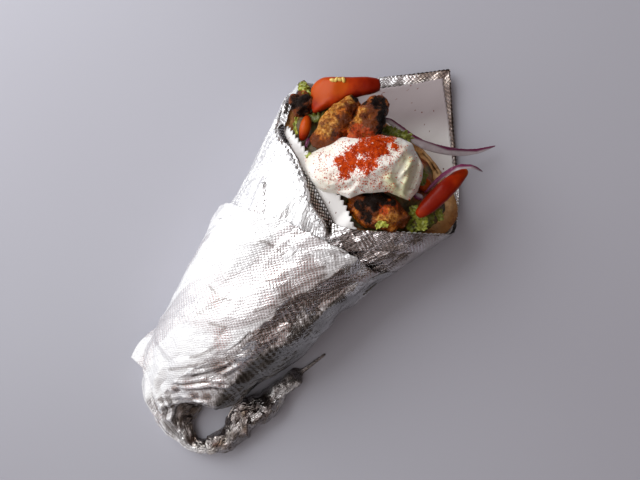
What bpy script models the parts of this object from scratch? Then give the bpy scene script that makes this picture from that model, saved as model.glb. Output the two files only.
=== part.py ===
"""Souvlaki pita: a bread cone of grilled chicken, salad and yogurt sauce in a foil and paper wrap.

It lies on its back with the mouth towards +Y. The wrap's unfolded corner spreads out behind the
food as a flap, and its closed end is twisted into a short tail that hooks round on the right.
Lengths in this file are in millimetres; build_mesh turns them into metres.
"""

import math

import bmesh
import bpy
import numpy as np
from mathutils import Vector, noise

MM = 0.001
ORIGIN = (5.65, 13.8)           # moves the middle of the footprint to the world's origin

# Section of the wrap: a flat-bottomed oval, sampled at even steps from the middle of its base,
# up the +X side, over the top and down the -X side. A place round it is a share of one turn.
AROUND = 44
BELLY_POWER = 3.0
CROWN_POWER = 2.2
WAIST = 0.45                    # height of the widest point, as a share of the section's height
BASE_PRESS = 0.8                # how far the base is flattened against the table

# Reach is measured along the wrap, towards the tail: -y as far as the neck, then along the tail.
NECK = 93.0
NECK_TURN = 6.0                 # past the neck the sections turn square to the tail over this much
BODY_REACH = (-111, -60, -47, -34, -16, 0, 14, 24, 36, 50, 60, 76, NECK)
BODY_LEFT = (-61, -61, -59.2, -55.6, -51.3, -48.3, -46.6, -46.2, -45.2, -43, -40.6, -38.8, -37.2)
BODY_RIGHT = (49.5, 49.5, 49, 45.8, 40.6, 35, 32.3, 30.8, 30.3, 30.2, 28.6, 24.3, 22)
BODY_HEIGHT = (52, 52, 52, 51.5, 50.5, 50, 49.5, 49, 48, 46, 44, 39, 33)

# Stations of the neck and tail: x, y, half width on the hook's inner side, on its outer side,
# height, and how much lower the inner side is
TAIL = (
    (-7.6, -93, 29.6, 29.6, 33, 0.00),
    (-9.0, -104, 26, 26, 28, 0.05),
    (-8.0, -114, 18.5, 19.5, 23, 0.25),
    (-2.5, -124, 14.5, 12, 18, 0.60),
    (6.0, -131.5, 11, 7.5, 14, 0.55),
    (17.0, -133, 6.5, 5.2, 12, 0.20),
    (26.5, -125.5, 4.8, 5.2, 11, 0.00),
    (30.0, -113, 4.2, 4.6, 11, 0.00),
    (31.0, -101, 7.5, 5.4, 11, 0.30),
    (34.0, -89, 4.5, 5.2, 11, 0.00),
    (35.5, -77, 5.0, 5.0, 11, 0.00),
    (37.0, -66, 5.2, 4.4, 9, 0.00),
    (39.8, -59.5, 2.4, 2.0, 5, 0.00),
    (41.5, -47.5, 0.6, 0.6, 1.3, 0.00),
)
EAR = (95, 112.5, 114.5)        # reach where the flat foil ear starts, ends and has gone
EAR_WIDTH = 10.5
TAIL_START = EAR[2] + 5         # reach of the first section of the bare tail

# Mouth and seam lines, each as places round the section and y there
RIM = ((0, 0.055, 0.102, 0.155, 0.208, 0.24, 0.27, 0.307, 0.371, 0.424, 0.456, 0.483, 0.58, 0.639, 0.70,
        0.726, 0.826, 0.916, 0.96, 1),
       (111, 94.5, 81, 66, 51, 46.5, 44.5, 40, 30, 20, 16, 12, 20, 25, 32, 47, 61, 87, 99.5, 111))
PAPER_RIM = ((0, 0.055, 0.102, 0.155, 0.208, 0.24, 0.307, 0.371, 0.424, 0.456, 0.492, 0.55, 0.609, 0.684,
              0.726, 0.826, 0.916, 0.96, 1),
             (106.5, 91, 78.5, 64, 49.5, 45.2, 38.5, 28.5, 18.5, 17, 22, 26, 28.5, 31, 45.5, 57, 81, 93.5,
              106.5))
LAP_LINE = ((0, 0.1, 0.2, 0.26, 0.3, 0.35, 0.39, 0.464, 0.521, 0.56, 0.6, 0.647, 0.683, 0.72, 0.75, 0.88, 1),
            (-4, 4, 13, 13, 10, 6.5, 6.5, 5, 2.5, 1, -2, -7, -11, -14, -16, -12, -4))
BREAD_RIM = ((0, 0.05, 0.1, 0.15, 0.2, 0.24, 0.3, 0.36, 0.42, 0.5, 0.58, 0.64, 0.69, 0.726, 0.76,
              0.82, 0.88, 0.95, 1),
             (67, 68, 66.5, 62.5, 55.5, 45, 35.5, 25, 18, 14, 19, 24, 31, 43, 50, 57, 62, 66, 67))

FOIL_WALL = 1.0
LAP_STEP = 1.6                  # the outer turn of foil stands this far proud of the inner one
SHOULDER = 2.2                  # and this much more on the -X side, where it gapes
LAP_FADES = (60.0, 110.0)       # reach over which the outer turn settles onto the tail
PLY_GAP = 0.4
PAPER_WALL = 0.7
BREAD_WALL = 5.2
PAPER_INSET = FOIL_WALL + PLY_GAP
BREAD_INSET = PAPER_INSET + PAPER_WALL + PLY_GAP
CORE_GAP = 1.0
CORE_INSET = BREAD_INSET + BREAD_WALL + CORE_GAP
CORE_BELOW_RIM = 3.0
FLAP_LIFT = 6.0                 # height of the flap's corner above the table
FLAP = (60.0, 111.0)            # y where the flap starts to rise and where its corner is
BREAD_LIP = 13.0                # height of the underside of the bread's rear lip
LIP = (32.0, 66.0)              # y over which the bread lifts off into its lip
CLEARANCE = 0.35                # between foods that touch

# How the lofts are divided, as shares of the way from rim to lap, lap to body and rim to end
INNER_TURN_ROWS = (0, 0.12, 0.25, 0.42, 0.6, 0.78, 0.98)
LAPPED_ROWS = (0, 0.12, 0.28, 0.46, 0.64, 0.82, 1)
DEEP_ROWS = (0, 0.07, 0.15, 0.25, 0.37, 0.5, 0.62, 0.74, 0.86, 1)
TAIL_ROWS = 18
CORE_ROWS = (1, 0.75, 0.5, 0.28, 0.12, 0)
CROWN_ROWS = (0.2, 0.42, 0.66, 0.86)
BODY_ROW = 7.0                  # spacing of the rows that go straight round
SETTLED = 40.0                  # reach past which they do
FOIL_DEEP = 88.0
PAPER_DEEP = 86.0
BREAD_DEEP = 82.0
CORE_DEEP = 66.0
WRINKLE = 1.5
WRINKLE_SIZE = 17.0
WRINKLE_WAY = (0.40, 0.92)      # direction the folds run in, seen from above
WRINKLE_STRETCH = 2.6
FIRM_BASE = 1.0                 # folds begin this far above the table, and are full 8 mm higher
FIRM_RISE = 8.0

# Food: each piece's path through its middle, and widths and heights along it
PIECES = {
    "chicken_1": dict(path=((-28, 33.5, 40), (-28.5, 47, 43), (-29.5, 63, 42)), widths=(11, 14, 13.5, 8),
                      heights=(9, 14, 14, 9), finish="chicken", around=12, along=12, blunt=3.4, rough=1.3),
    "chicken_2": dict(path=((-15.5, 44, 44), (-17, 57, 46), (-19.5, 71, 41.5)), widths=(11, 15, 15, 9),
                      heights=(10, 14, 13, 8), finish="chicken", around=12, along=12, blunt=3.4, rough=1.3),
    "chicken_3": dict(path=((-1.5, 23.5, 41.5), (12, 29, 43), (28, 34.5, 40.5)), widths=(9, 17, 15, 11),
                      heights=(8, 14, 13, 9), finish="chicken", around=12, along=12, blunt=3.4, rough=1.2,
                      roll=-18),
    "chicken_4": dict(path=((-55, 47, 34.5), (-50, 46, 36.5), (-43, 45, 35.5)), widths=(9, 12.5, 11),
                      heights=(6, 8, 8), finish="chicken", around=10, along=9, blunt=3.4, rough=0.9, grain=4),
    "tomato_1": dict(path=((-47.6, 51.6, 36.5), (-40.5, 58.3, 39), (-32, 68.3, 39), (-24.6, 75.8, 37)),
                     widths=(17, 14.5, 9.5, 8), heights=(9, 9.5, 8.5, 7), finish="tomato", around=12,
                     along=10, blunt=9, square=3),
    "tomato_2": dict(path=((28.2, 38.8, 41.5), (30, 55, 43), (31.8, 71, 40)), widths=(8, 9, 8.5, 7),
                     heights=(7, 8, 7, 5), finish="tomato", around=10, along=11, blunt=4),
    "tomato_3": dict(path=((-43, 43, 35.5), (-39.5, 37.5, 37.5), (-37, 31.5, 36)), widths=(5, 6, 5),
                     heights=(6, 7, 6), finish="tomato", around=8, along=8, blunt=3),
    "tomato_4": dict(path=((18.5, 53, 32), (25, 54, 33)), widths=(7, 8), heights=(6, 7), finish="tomato",
                     around=8, along=7, blunt=3, square=3),
    "onion_1": dict(path=((-19, 60, 32), (-11.5, 65.6, 36.5), (3.5, 66.4, 34.5), (19.3, 73.9, 24),
                          (31, 84.5, 13), (38, 95, 8)), widths=(2.5, 4, 4.6, 4.6, 4, 2.6),
                    heights=(1.6, 1.6, 1.5, 1.4, 1.3, 1.0), finish="onion", around=8, along=16, blunt=3),
    "onion_2": dict(path=((24, 49.5, 38), (24.8, 59, 41), (27.2, 67, 45.8), (32.6, 72.2, 45.2), (38.6, 74.6, 40)),
                    widths=(2, 2.6, 2.8, 2.4, 1.6), heights=(1.1, 1.1, 1.1, 1.1, 0.9), finish="onion",
                    around=8, along=12, blunt=3),
    "onion_3": dict(path=((-35.5, 35.5, 36), (-33, 30.2, 38)), widths=(2.4, 2.0), heights=(3, 2.4),
                    finish="onion", around=8, along=7, blunt=3),
    "onion_4": dict(path=((20.5, 46, 38), (25.2, 47.5, 38.5)), widths=(3, 3.4), heights=(2.4, 2.6),
                    finish="onion", around=8, along=7, blunt=3),
}
TUCKED = {                      # pieces cut back from the ones that lie over or against them
    "chicken_1": ("chicken_2",),
    "tomato_1": ("chicken_1", "chicken_4"),
    "tomato_3": ("chicken_4",),
    "tomato_4": ("onion_4", "tomato_2"),
    "onion_2": ("tomato_2",),
    "onion_3": ("chicken_1", "tomato_3"),
    "onion_4": ("tomato_2",),
}
UNDER_SAUCE = ("chicken_1", "chicken_2", "chicken_3", "tomato_4", "onion_4", "tomato_2")

SAUCE_MIDDLE = (-5.0, 42.0)
SAUCE_EDGE = ((-30, 29), (-22, 37), (-18.5, 46), (-13.5, 51.5), (-9, 56), (-3.4, 59.3), (3.5, 62.8),
              (9, 60.5), (15, 59), (18, 55), (21, 47.5), (21.5, 43), (17, 40), (9, 38), (2, 31),
              (-1.5, 24.5), (-8, 23.5), (-19, 24.8))
SAUCE_TOP = 58.5
SAUCE_BOTTOM = 38.0
SAUCE_LIP = 5.5                 # height of its rounded edge
SAUCE_FALL = ((-1.0, 28.0, 13.0), (45.0, 22.0, 6.0))    # in x and in y: middle, half width, fall
SAUCE_RIDGE = (9.0, 3.0, 2.6)   # x, width and height of the fold, and below of the groove beside it
SAUCE_GROOVE = (13.5, 2.6, 2.2)
SAUCE_LUMP = (8.0, 1.1)         # size and height

CORE_CROWN = (-4.0, 42.0, 41.0)
CORE_DOMING = 3.0               # how steeply the filling rises from the bread before it levels out
SHREDS = (                      # path and width of each
    (((27.5, 33, 31), (29.8, 33.6, 37), (30.5, 36.5, 39), (26, 41.5, 34)), 4.5),
    (((28, 46, 32), (31, 41, 39), (34, 37, 38.5), (34, 34, 33)), 5.0),
    (((-7, 53, 30), (-8, 58.5, 36), (-6, 61, 38.6), (-1.5, 62.6, 38)), 3.6),
    (((-44, 47, 22), (-48, 50.5, 28), (-54.5, 54.2, 34.5), (-58, 52.8, 35)), 3.0),
)

COLOURS = {
    "foil": (0.80, 0.79, 0.79, 0.30, 1.0),
    "paper": (0.62, 0.59, 0.59, 0.75, 0.0),
    "bread": (0.55, 0.30, 0.12, 0.80, 0.0),
    "salad": (0.10, 0.13, 0.03, 0.60, 0.0),
    "chicken": (0.36, 0.15, 0.05, 0.55, 0.0),
    "sauce": (0.86, 0.83, 0.74, 0.35, 0.0),
    "tomato": (0.62, 0.09, 0.03, 0.30, 0.0),
    "onion": (0.62, 0.50, 0.55, 0.35, 0.0),
}


# ---- measuring -------------------------------------------------------------------------------

def flow(places, values, at):
    """A smooth curve through the values that never overshoots them."""
    places = np.asarray(places, float)
    values = np.asarray(values, float)
    step = np.diff(places)
    slope = np.diff(values) / step
    before, after = slope[:-1], slope[1:]
    same_way = before * after > 0
    total = np.where(same_way, before + after, 1.0)
    tangent = np.concatenate([slope[:1], np.where(same_way, 2 * before * after / total, 0.0), slope[-1:]])
    at = np.clip(at, places[0], places[-1])
    cell = np.clip(np.searchsorted(places, at) - 1, 0, len(step) - 1)
    t = (at - places[cell]) / step[cell]
    return ((2 * t**3 - 3 * t**2 + 1) * values[cell] + (t**3 - 2 * t**2 + t) * step[cell] * tangent[cell]
            + (3 * t**2 - 2 * t**3) * values[cell + 1] + (t**3 - t**2) * step[cell] * tangent[cell + 1])


def unit_section(count):
    """Even steps round the oval, as shares of its half width and of its height below or above the waist."""
    t = np.linspace(0, 2 * math.pi, 4001)
    power = np.where(np.cos(t) > 0, 2 / BELLY_POWER, 2 / CROWN_POWER)
    x = np.sign(np.sin(t)) * np.abs(np.sin(t)) ** power
    z = -np.sign(np.cos(t)) * np.abs(np.cos(t)) ** power
    rise = z * np.where(z < 0, 0.52, 0.67)
    arc = np.concatenate([[0], np.cumsum(np.hypot(np.diff(x), np.diff(rise)))])
    steps = np.arange(count) / count * arc[-1]
    return np.interp(steps, arc, x), np.interp(steps, arc, z)


TURN = np.arange(AROUND) / AROUND
SIDE, RISE = unit_section(AROUND)
tail = np.array(TAIL, float)
TAIL_REACH = NECK + np.concatenate([[0], np.cumsum(np.hypot(np.diff(tail[:, 0]), np.diff(tail[:, 1])))])


def spine(reach):
    """Centre line, seen from above."""
    body_x = flow(BODY_REACH, (np.array(BODY_LEFT) + np.array(BODY_RIGHT)) / 2, reach)
    x = np.where(reach < NECK, body_x, flow(TAIL_REACH, tail[:, 0], reach))
    y = np.where(reach < NECK, -reach, flow(TAIL_REACH, tail[:, 1], reach))
    return x, y


def wrap_surface(reach, inset, floor=0.0, out=0.0):
    """Points round the wrap, one for each place of TURN, at a reach that may differ for each.

    inset moves the section inwards, out moves it outwards except at its base, and floor raises
    its base without moving its waist.
    """
    reach = np.broadcast_to(np.asarray(reach, float), SIDE.shape)
    x, y = spine(reach)
    ahead_x, ahead_y = spine(reach + 0.5)
    back_x, back_y = spine(reach - 0.5)
    turning = np.clip((reach - NECK) / NECK_TURN, 0, 1)
    along = np.stack([(ahead_x - back_x) * turning, ahead_y - back_y])
    along /= np.hypot(*along)
    half = (np.array(BODY_RIGHT, float) - np.array(BODY_LEFT)) / 2
    inner = np.where(reach < NECK, flow(BODY_REACH, half, reach), flow(TAIL_REACH, tail[:, 2], reach))
    outer = np.where(reach < NECK, flow(BODY_REACH, half, reach), flow(TAIL_REACH, tail[:, 3], reach))
    height = np.where(reach < NECK, flow(BODY_REACH, BODY_HEIGHT, reach), flow(TAIL_REACH, tail[:, 4], reach))
    lean = np.where(reach < NECK, 0, flow(TAIL_REACH, tail[:, 5], reach))
    width = np.where(SIDE > 0, inner, outer) - inset + out
    waist = WAIST * height
    base = inset + floor
    low = base + (waist - base) * (1 + RISE)
    high = waist + (height - inset + out - waist) * RISE
    z = np.where(RISE < 0, low, high)
    z = np.maximum(z - BASE_PRESS, base)
    z = z * (1 - lean * np.clip(SIDE, 0, 1) ** 1.5)
    z = z + FLAP_LIFT * np.clip((-reach - FLAP[0]) / (FLAP[1] - FLAP[0]), 0, 1) ** 1.5
    return np.stack([x - along[1] * SIDE * width, y + along[0] * SIDE * width, z], axis=1)


def ear(reach):
    """Extra width of the flat ear of foil low on the -X side of the neck."""
    grow = np.clip((reach - EAR[0]) / (EAR[1] - EAR[0]), 0, 1)
    gone = np.clip((reach - EAR[1]) / (EAR[2] - EAR[1]), 0, 1)
    low_left = np.clip(-SIDE * 2 - 1, 0, 1) * np.clip(-RISE * 4, 0, 1)
    return EAR_WIDTH * grow * (1 - gone) * low_left


def crumple(point):
    """Creased folds, from 0 in the valleys to 1 on the crests, longer one way than the other."""
    long_way = point.x * WRINKLE_WAY[0] + point.y * WRINKLE_WAY[1]
    across = point.x * WRINKLE_WAY[1] - point.y * WRINKLE_WAY[0]
    wave = noise.noise(Vector((across, long_way / WRINKLE_STRETCH, point.z)) / WRINKLE_SIZE)
    return 1 - min(abs(wave) * 2.4, 1)


# ---- making meshes ---------------------------------------------------------------------------

def build_mesh(name, skin, finish):
    """An object from points in millimetres and faces."""
    points, faces = skin
    bm = bmesh.new()
    verts = [bm.verts.new([float(c) * MM for c in point]) for point in points]
    for face in faces:
        bm.faces.new([verts[k] for k in face])
    return finish_bmesh(name, bm, finish)


def finish_bmesh(name, bm, finish):
    """A named object of closed, outward triangles, hung on the origin empty, with its own colour."""
    bmesh.ops.triangulate(bm, faces=bm.faces[:])
    bmesh.ops.recalc_face_normals(bm, faces=bm.faces[:])
    mesh = bpy.data.meshes.new(name)
    bm.to_mesh(mesh)
    bm.free()
    item = bpy.data.objects.new(name, mesh)
    parts.objects.link(item)
    item.parent = origin
    red, green, blue, rough, metal = COLOURS[finish]
    material = bpy.data.materials.get(finish) or bpy.data.materials.new(finish)
    material.use_nodes = True
    shader = material.node_tree.nodes["Principled BSDF"]
    shader.inputs["Base Color"].default_value = (red, green, blue, 1)
    shader.inputs["Roughness"].default_value = rough
    shader.inputs["Metallic"].default_value = metal
    mesh.materials.append(material)
    return item


def loft(rings):
    """Points and faces of a skin over closed rings of equal count, drawn to a point at each end."""
    count = len(rings[0])
    points = [point for ring in rings for point in ring]
    faces = []
    for row in range(len(rings) - 1):
        for k in range(count):
            a = row * count + k
            b = row * count + (k + 1) % count
            faces.append((a, b, b + count, a + count))
    for ring, start in ((rings[0], 0), (rings[-1], len(points) - count)):
        points.append(np.mean(ring, axis=0))
        faces += [(start + k, start + (k + 1) % count, len(points) - 1) for k in range(count)]
    return points, faces


# ---- wrap and bread --------------------------------------------------------------------------

def make_foil_wrapper():
    """Foil wrap: thin wall round the mouth, one turn lapped over another, twisted solid at the tail."""
    rim = -flow(*RIM, TURN)
    lap = -flow(*LAP_LINE, TURN)
    outer = [wrap_surface(rim + (lap - rim) * share, 0) for share in INNER_TURN_ROWS]
    gape = np.clip(-SIDE, 0, 1) * np.clip(1.2 - np.abs(RISE), 0, 1)
    for share in LAPPED_ROWS:
        swell = LAP_STEP + SHOULDER * gape * (1 - share)
        outer.append(wrap_surface(lap + (SETTLED - lap) * share, 0, out=swell))
    for reach in (*np.arange(SETTLED + BODY_ROW, EAR[1] - BODY_ROW / 2, BODY_ROW), EAR[1], EAR[2]):
        swell = LAP_STEP * np.clip((LAP_FADES[1] - reach) / (LAP_FADES[1] - LAP_FADES[0]), 0, 1)
        outer.append(wrap_surface(reach, 0, out=swell + ear(reach)))
    outer += [wrap_surface(reach, 0) for reach in np.linspace(TAIL_START, TAIL_REACH[-1], TAIL_ROWS)]
    for ring in outer:
        wrinkle(ring)
    inner = [wrap_surface(rim + (FOIL_DEEP - rim) * share, FOIL_WALL) for share in DEEP_ROWS]
    return build_mesh("foil_wrapper", loft(inner[::-1] + outer), "foil")


def wrinkle(ring):
    """Pushes a ring of the wrap in and out into creased folds, except on its base and flap."""
    middle = np.mean(ring, axis=0)
    for point in ring:
        away = point - middle
        distance = np.linalg.norm(away)
        firm = np.clip((point[2] - FIRM_BASE) / FIRM_RISE, 0, 1) * min(distance / WRINKLE_SIZE, 1)
        if point[1] < FLAP[0] and distance > 0:
            point += away / distance * WRINKLE * firm * (crumple(Vector(point)) - 0.35)


def make_cup(name, finish, rim, inset, wall, deep, lip=0.0):
    """A cup that follows the wrap from its own rim line to its closed end, and may lift off at its rear lip."""
    start = -flow(*rim, TURN)
    rings = []
    for depth, side in ((deep - wall, wall), (deep, 0)):
        rows = []
        for share in DEEP_ROWS:
            reach = start + (depth - start) * share
            rows.append(wrap_surface(reach, inset + side, lip_floor(reach, lip)))
        rings += rows[::-1] if side else rows
    return build_mesh(name, loft(rings), finish)


def lip_floor(reach, lip):
    """How far the bread's base is raised at a reach."""
    return lip * np.clip((-reach - LIP[0]) / (LIP[1] - LIP[0]), 0, 1) ** 1.3


# ---- food ------------------------------------------------------------------------------------

def make_piece(name, path, widths, heights, finish, around=10, along=10, blunt=2.6, square=2.4,
               rough=0.0, grain=6.0, roll=0.0):
    """A rounded piece along a path, from a sphere that is stretched and bent.

    blunt rounds its ends and square its section, both 2 for an oval; rough is the depth of its
    dents and grain their size; roll turns its section about the path, in degrees.
    """
    bm = bmesh.new()
    bmesh.ops.create_uvsphere(bm, u_segments=around, v_segments=along, radius=1)
    path = np.array(path, float)
    walked = np.concatenate([[0], np.cumsum(np.linalg.norm(np.diff(path, axis=0), axis=1))])
    share = walked / walked[-1]
    stops = np.linspace(0, 1, len(widths))

    def centre(at):
        return Vector([float(flow(share, path[:, axis], at)) for axis in range(3)])

    for vert in bm.verts:
        at = min(max((1 - vert.co.z) / 2, 0), 1)
        angle = math.atan2(vert.co.y, vert.co.x)
        spread = max(1 - vert.co.z ** 2, 0) ** (1 / blunt)
        low, high = max(at - 0.02, 0), min(at + 0.02, 1)
        ahead = (centre(high) - centre(low)).normalized()
        side = ahead.cross(Vector((0, 0, 1))).normalized()
        top = side.cross(ahead)
        turn = math.radians(roll)
        side, top = side * math.cos(turn) + top * math.sin(turn), top * math.cos(turn) - side * math.sin(turn)
        c, s = math.cos(angle), math.sin(angle)
        across = math.copysign(abs(c) ** (2 / square), c) * float(flow(stops, widths, at)) / 2
        up = math.copysign(abs(s) ** (2 / square), s) * float(flow(stops, heights, at)) / 2
        place = centre(at) + (side * across + top * up) * spread
        if rough:
            bump = noise.noise(place / grain) + 0.4 * noise.noise(place / (0.45 * grain))
            place += (place - centre(at)).normalized() * rough * bump
        vert.co = place * MM
    return finish_bmesh(name, bm, finish)


def make_sauce():
    """A spooned dollop with a steep fold on its +X side and a low skirt towards the paper."""
    bm = bmesh.new()
    bmesh.ops.create_uvsphere(bm, u_segments=28, v_segments=14, radius=1)
    middle = np.array(SAUCE_MIDDLE)
    edge = np.array(SAUCE_EDGE, float) - middle
    bearing = np.unwrap(np.arctan2(edge[:, 1], edge[:, 0]))
    order = np.argsort(bearing)
    bearing, radius = bearing[order], np.hypot(*edge.T)[order]
    bearing = np.concatenate([bearing - 2 * math.pi, bearing, bearing + 2 * math.pi])
    radius = np.tile(radius, 3)
    for vert in bm.verts:
        angle = math.atan2(vert.co.y, vert.co.x)
        spread = math.hypot(vert.co.x, vert.co.y)
        reach = float(flow(bearing, radius, angle)) * spread
        x = middle[0] + reach * math.cos(angle)
        y = middle[1] + reach * math.sin(angle)
        crown = SAUCE_TOP
        for place, (peak, half, fall) in zip((x, y), SAUCE_FALL):
            crown -= fall * ((place - peak) / half) ** 2
        lean = x + 0.35 * (y - SAUCE_FALL[1][0])
        fold = SAUCE_RIDGE[2] * math.exp(-((lean - SAUCE_RIDGE[0]) / SAUCE_RIDGE[1]) ** 2)
        fold -= SAUCE_GROOVE[2] * math.exp(-((x - SAUCE_GROOVE[0]) / SAUCE_GROOVE[1]) ** 2)
        lump = SAUCE_LUMP[1] * noise.noise(Vector((x, y, 0)) / SAUCE_LUMP[0])
        if vert.co.z >= 0:
            z = crown + (fold + lump) * (1 - spread ** 3) - SAUCE_LIP * spread ** 5
        else:
            z = crown - SAUCE_LIP
            z -= max(z - SAUCE_BOTTOM, 1) * (-vert.co.z) ** 0.6
        vert.co = Vector((x, y, z)) * MM
    return finish_bmesh("sauce", bm, "sauce")


def make_salad_core():
    """The filling inside the bread: a plug that follows its hollow and crowns up in the mouth."""
    start = CORE_BELOW_RIM - flow(*BREAD_RIM, TURN)
    rings = []
    for share in CORE_ROWS:
        reach = start + (CORE_DEEP - start) * share
        rings.append(wrap_surface(reach, CORE_INSET, lip_floor(reach, BREAD_LIP)))
    edge = rings[-1]
    crown = np.array(CORE_CROWN)
    for share in CROWN_ROWS:
        ring = edge + (crown - edge) * share
        ring[:, 2] = edge[:, 2] + (crown[2] - edge[:, 2]) * (1 - (1 - share) ** CORE_DOMING)
        ring[:, 2] += [0.8 * noise.noise(Vector(point) / 7) for point in ring]
        rings.append(ring)
    points, faces = loft(rings)
    points[-1] = crown
    return build_mesh("salad", (points, faces), "salad")


def make_shreds():
    """Lettuce that shows between the larger pieces, each a thin wavy strip."""
    shreds = bpy.data.collections.new("shreds")
    bpy.context.scene.collection.children.link(shreds)
    for number, (path, width) in enumerate(SHREDS):
        shred = make_piece(f"shred_{number}", path, (0.6 * width, width, 0.7 * width), (1.1, 1.1, 1.1),
                           "salad", around=6, along=7, blunt=4, rough=0.7, grain=4, roll=12 * (-1) ** number)
        shreds.objects.link(shred)
        parts.objects.unlink(shred)
    return shreds


# ---- fitting the food together ---------------------------------------------------------------

def keep_clear(item, others):
    """Cuts an item back to CLEARANCE from others that lie on or in it."""
    for other in others:
        name = f"{other.name}_room"
        room = bpy.data.objects.get(name)
        if room is None:
            room = bpy.data.objects.new(name, other.data)
            cutters.objects.link(room)
            room.parent = origin
            room.hide_render = True
            room.display_type = "WIRE"
            swell = room.modifiers.new("swell", "DISPLACE")
            swell.mid_level = 0
            swell.strength = CLEARANCE * MM
        cut = item.modifiers.new(name, "BOOLEAN")
        cut.operation = "DIFFERENCE"
        cut.object = room


def fix_shape(item):
    """Makes an item's modifiers part of its mesh."""
    bpy.context.view_layer.update()
    seen = item.evaluated_get(bpy.context.evaluated_depsgraph_get())
    item.data = bpy.data.meshes.new_from_object(seen)
    item.modifiers.clear()


def fuse(item, pieces):
    """Joins the pieces of a collection to an item and removes them."""
    join = item.modifiers.new("join", "BOOLEAN")
    join.operation = "UNION"
    join.operand_type = "COLLECTION"
    join.collection = pieces
    fix_shape(item)
    for piece in list(pieces.objects):
        bpy.data.objects.remove(piece, do_unlink=True)
    bpy.data.collections.remove(pieces)


def start_scene():
    for item in list(bpy.data.objects):
        bpy.data.objects.remove(item, do_unlink=True)
    made = []
    for name in ("souvlaki_pita", "cutters"):
        collection = bpy.data.collections.new(name)
        bpy.context.scene.collection.children.link(collection)
        made.append(collection)
    empty = bpy.data.objects.new("table_origin", None)
    empty.location = (ORIGIN[0] * MM, ORIGIN[1] * MM, 0)
    made[0].objects.link(empty)
    return made[0], made[1], empty


parts, cutters, origin = start_scene()
make_foil_wrapper()
make_cup("paper_lining", "paper", PAPER_RIM, PAPER_INSET, PAPER_WALL, PAPER_DEEP)
bread = make_cup("pita", "bread", BREAD_RIM, BREAD_INSET, BREAD_WALL, BREAD_DEEP, BREAD_LIP)

food = {name: make_piece(name, **shape) for name, shape in PIECES.items()}
sauce = make_sauce()
salad = make_salad_core()
for name, others in TUCKED.items():
    keep_clear(food[name], [food[other] for other in others])
keep_clear(sauce, [food[name] for name in UNDER_SAUCE])
keep_clear(salad, [*food.values(), sauce])
fix_shape(salad)
fuse(salad, make_shreds())
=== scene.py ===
import itertools
import math
import bpy
import numpy as np
from mathutils import Matrix, Vector


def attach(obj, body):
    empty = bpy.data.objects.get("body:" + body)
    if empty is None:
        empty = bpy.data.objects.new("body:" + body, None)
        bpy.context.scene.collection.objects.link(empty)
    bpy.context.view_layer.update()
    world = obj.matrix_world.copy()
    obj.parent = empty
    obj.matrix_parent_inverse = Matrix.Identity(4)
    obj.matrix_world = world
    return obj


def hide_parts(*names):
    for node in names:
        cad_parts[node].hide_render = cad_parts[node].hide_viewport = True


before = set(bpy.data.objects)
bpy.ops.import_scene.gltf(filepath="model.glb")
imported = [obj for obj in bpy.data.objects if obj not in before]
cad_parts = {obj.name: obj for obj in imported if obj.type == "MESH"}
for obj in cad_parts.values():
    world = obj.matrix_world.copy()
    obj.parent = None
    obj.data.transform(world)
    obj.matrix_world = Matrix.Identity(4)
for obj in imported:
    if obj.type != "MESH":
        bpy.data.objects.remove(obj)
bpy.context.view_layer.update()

mm = 0.001

# Lengths are in millimetres until a mesh is made.
# x is across the wrap, y towards its mouth, z up. A place round it is a share of one turn, from the
# middle of its base up the +x side. Reach is measured towards the tail: -y, then along the twist.

wrap = {
    "shift": (5.65, 13.8),            # from the wrap's own axes to the frame's
    "bellyPower": 3.0,
    "crownPower": 2.2,
    "waist": 0.45,
    "basePress": 0.8,
    "neck": 93.0,
    "neckTurn": 6.0,
    "reach": (-111, -60, -47, -34, -16, 0, 14, 24, 36, 50, 60, 76, 93),
    "left": (-61, -61, -59.2, -55.6, -51.3, -48.3, -46.6, -46.2, -45.2, -43, -40.6, -38.8, -37.2),
    "right": (49.5, 49.5, 49, 45.8, 40.6, 35, 32.3, 30.8, 30.3, 30.2, 28.6, 24.3, 22),
    "height": (52, 52, 52, 51.5, 50.5, 50, 49.5, 49, 48, 46, 44, 39, 33),
    "tail": (                         # x, y, half widths inside and outside the hook, height, lean
        (-7.6, -93, 29.6, 29.6, 33, 0.00),
        (-9.0, -104, 26, 26, 28, 0.05),
        (-8.0, -114, 18.5, 19.5, 23, 0.25),
        (-2.5, -124, 14.5, 12, 18, 0.60),
        (6.0, -131.5, 11, 7.5, 14, 0.55),
        (17.0, -133, 6.5, 5.2, 12, 0.20),
        (26.5, -125.5, 4.8, 5.2, 11, 0.00),
        (30.0, -113, 4.2, 4.6, 11, 0.00),
        (31.0, -101, 7.5, 5.4, 11, 0.30),
        (34.0, -89, 4.5, 5.2, 11, 0.00),
        (35.5, -77, 5.0, 5.0, 11, 0.00),
        (36.8, -67, 5.2, 4.4, 9, 0.00),
        (38.2, -62.5, 1.4, 1.2, 3, 0.00),
        (41.5, -47.5, 0.5, 0.5, 1.2, 0.00),
    ),
    "flap": (60.0, 111.0),            # y where it starts to rise and where its corner is
    "flapLift": 6.0,
    "clearance": 0.02,                # between the floor and the lowest sheet
}


def fade(low, high, at):
    t = np.clip((at - low) / (high - low), 0, 1)
    return t * t * (3 - 2 * t)


def between(at, rise, fall):          # 1 between two fades and 0 outside them
    return fade(*rise, at) * (1 - fade(*fall, at))


def overBase(share, rise, fall):      # 1 round the base, where a share starts again from 0
    return fade(*rise, share) + 1 - fade(*fall, share)


def zigzag(t):                        # from -1 to 1 and back in each unit
    return np.abs(np.mod(t, 1) * 4 - 2) - 1


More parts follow.
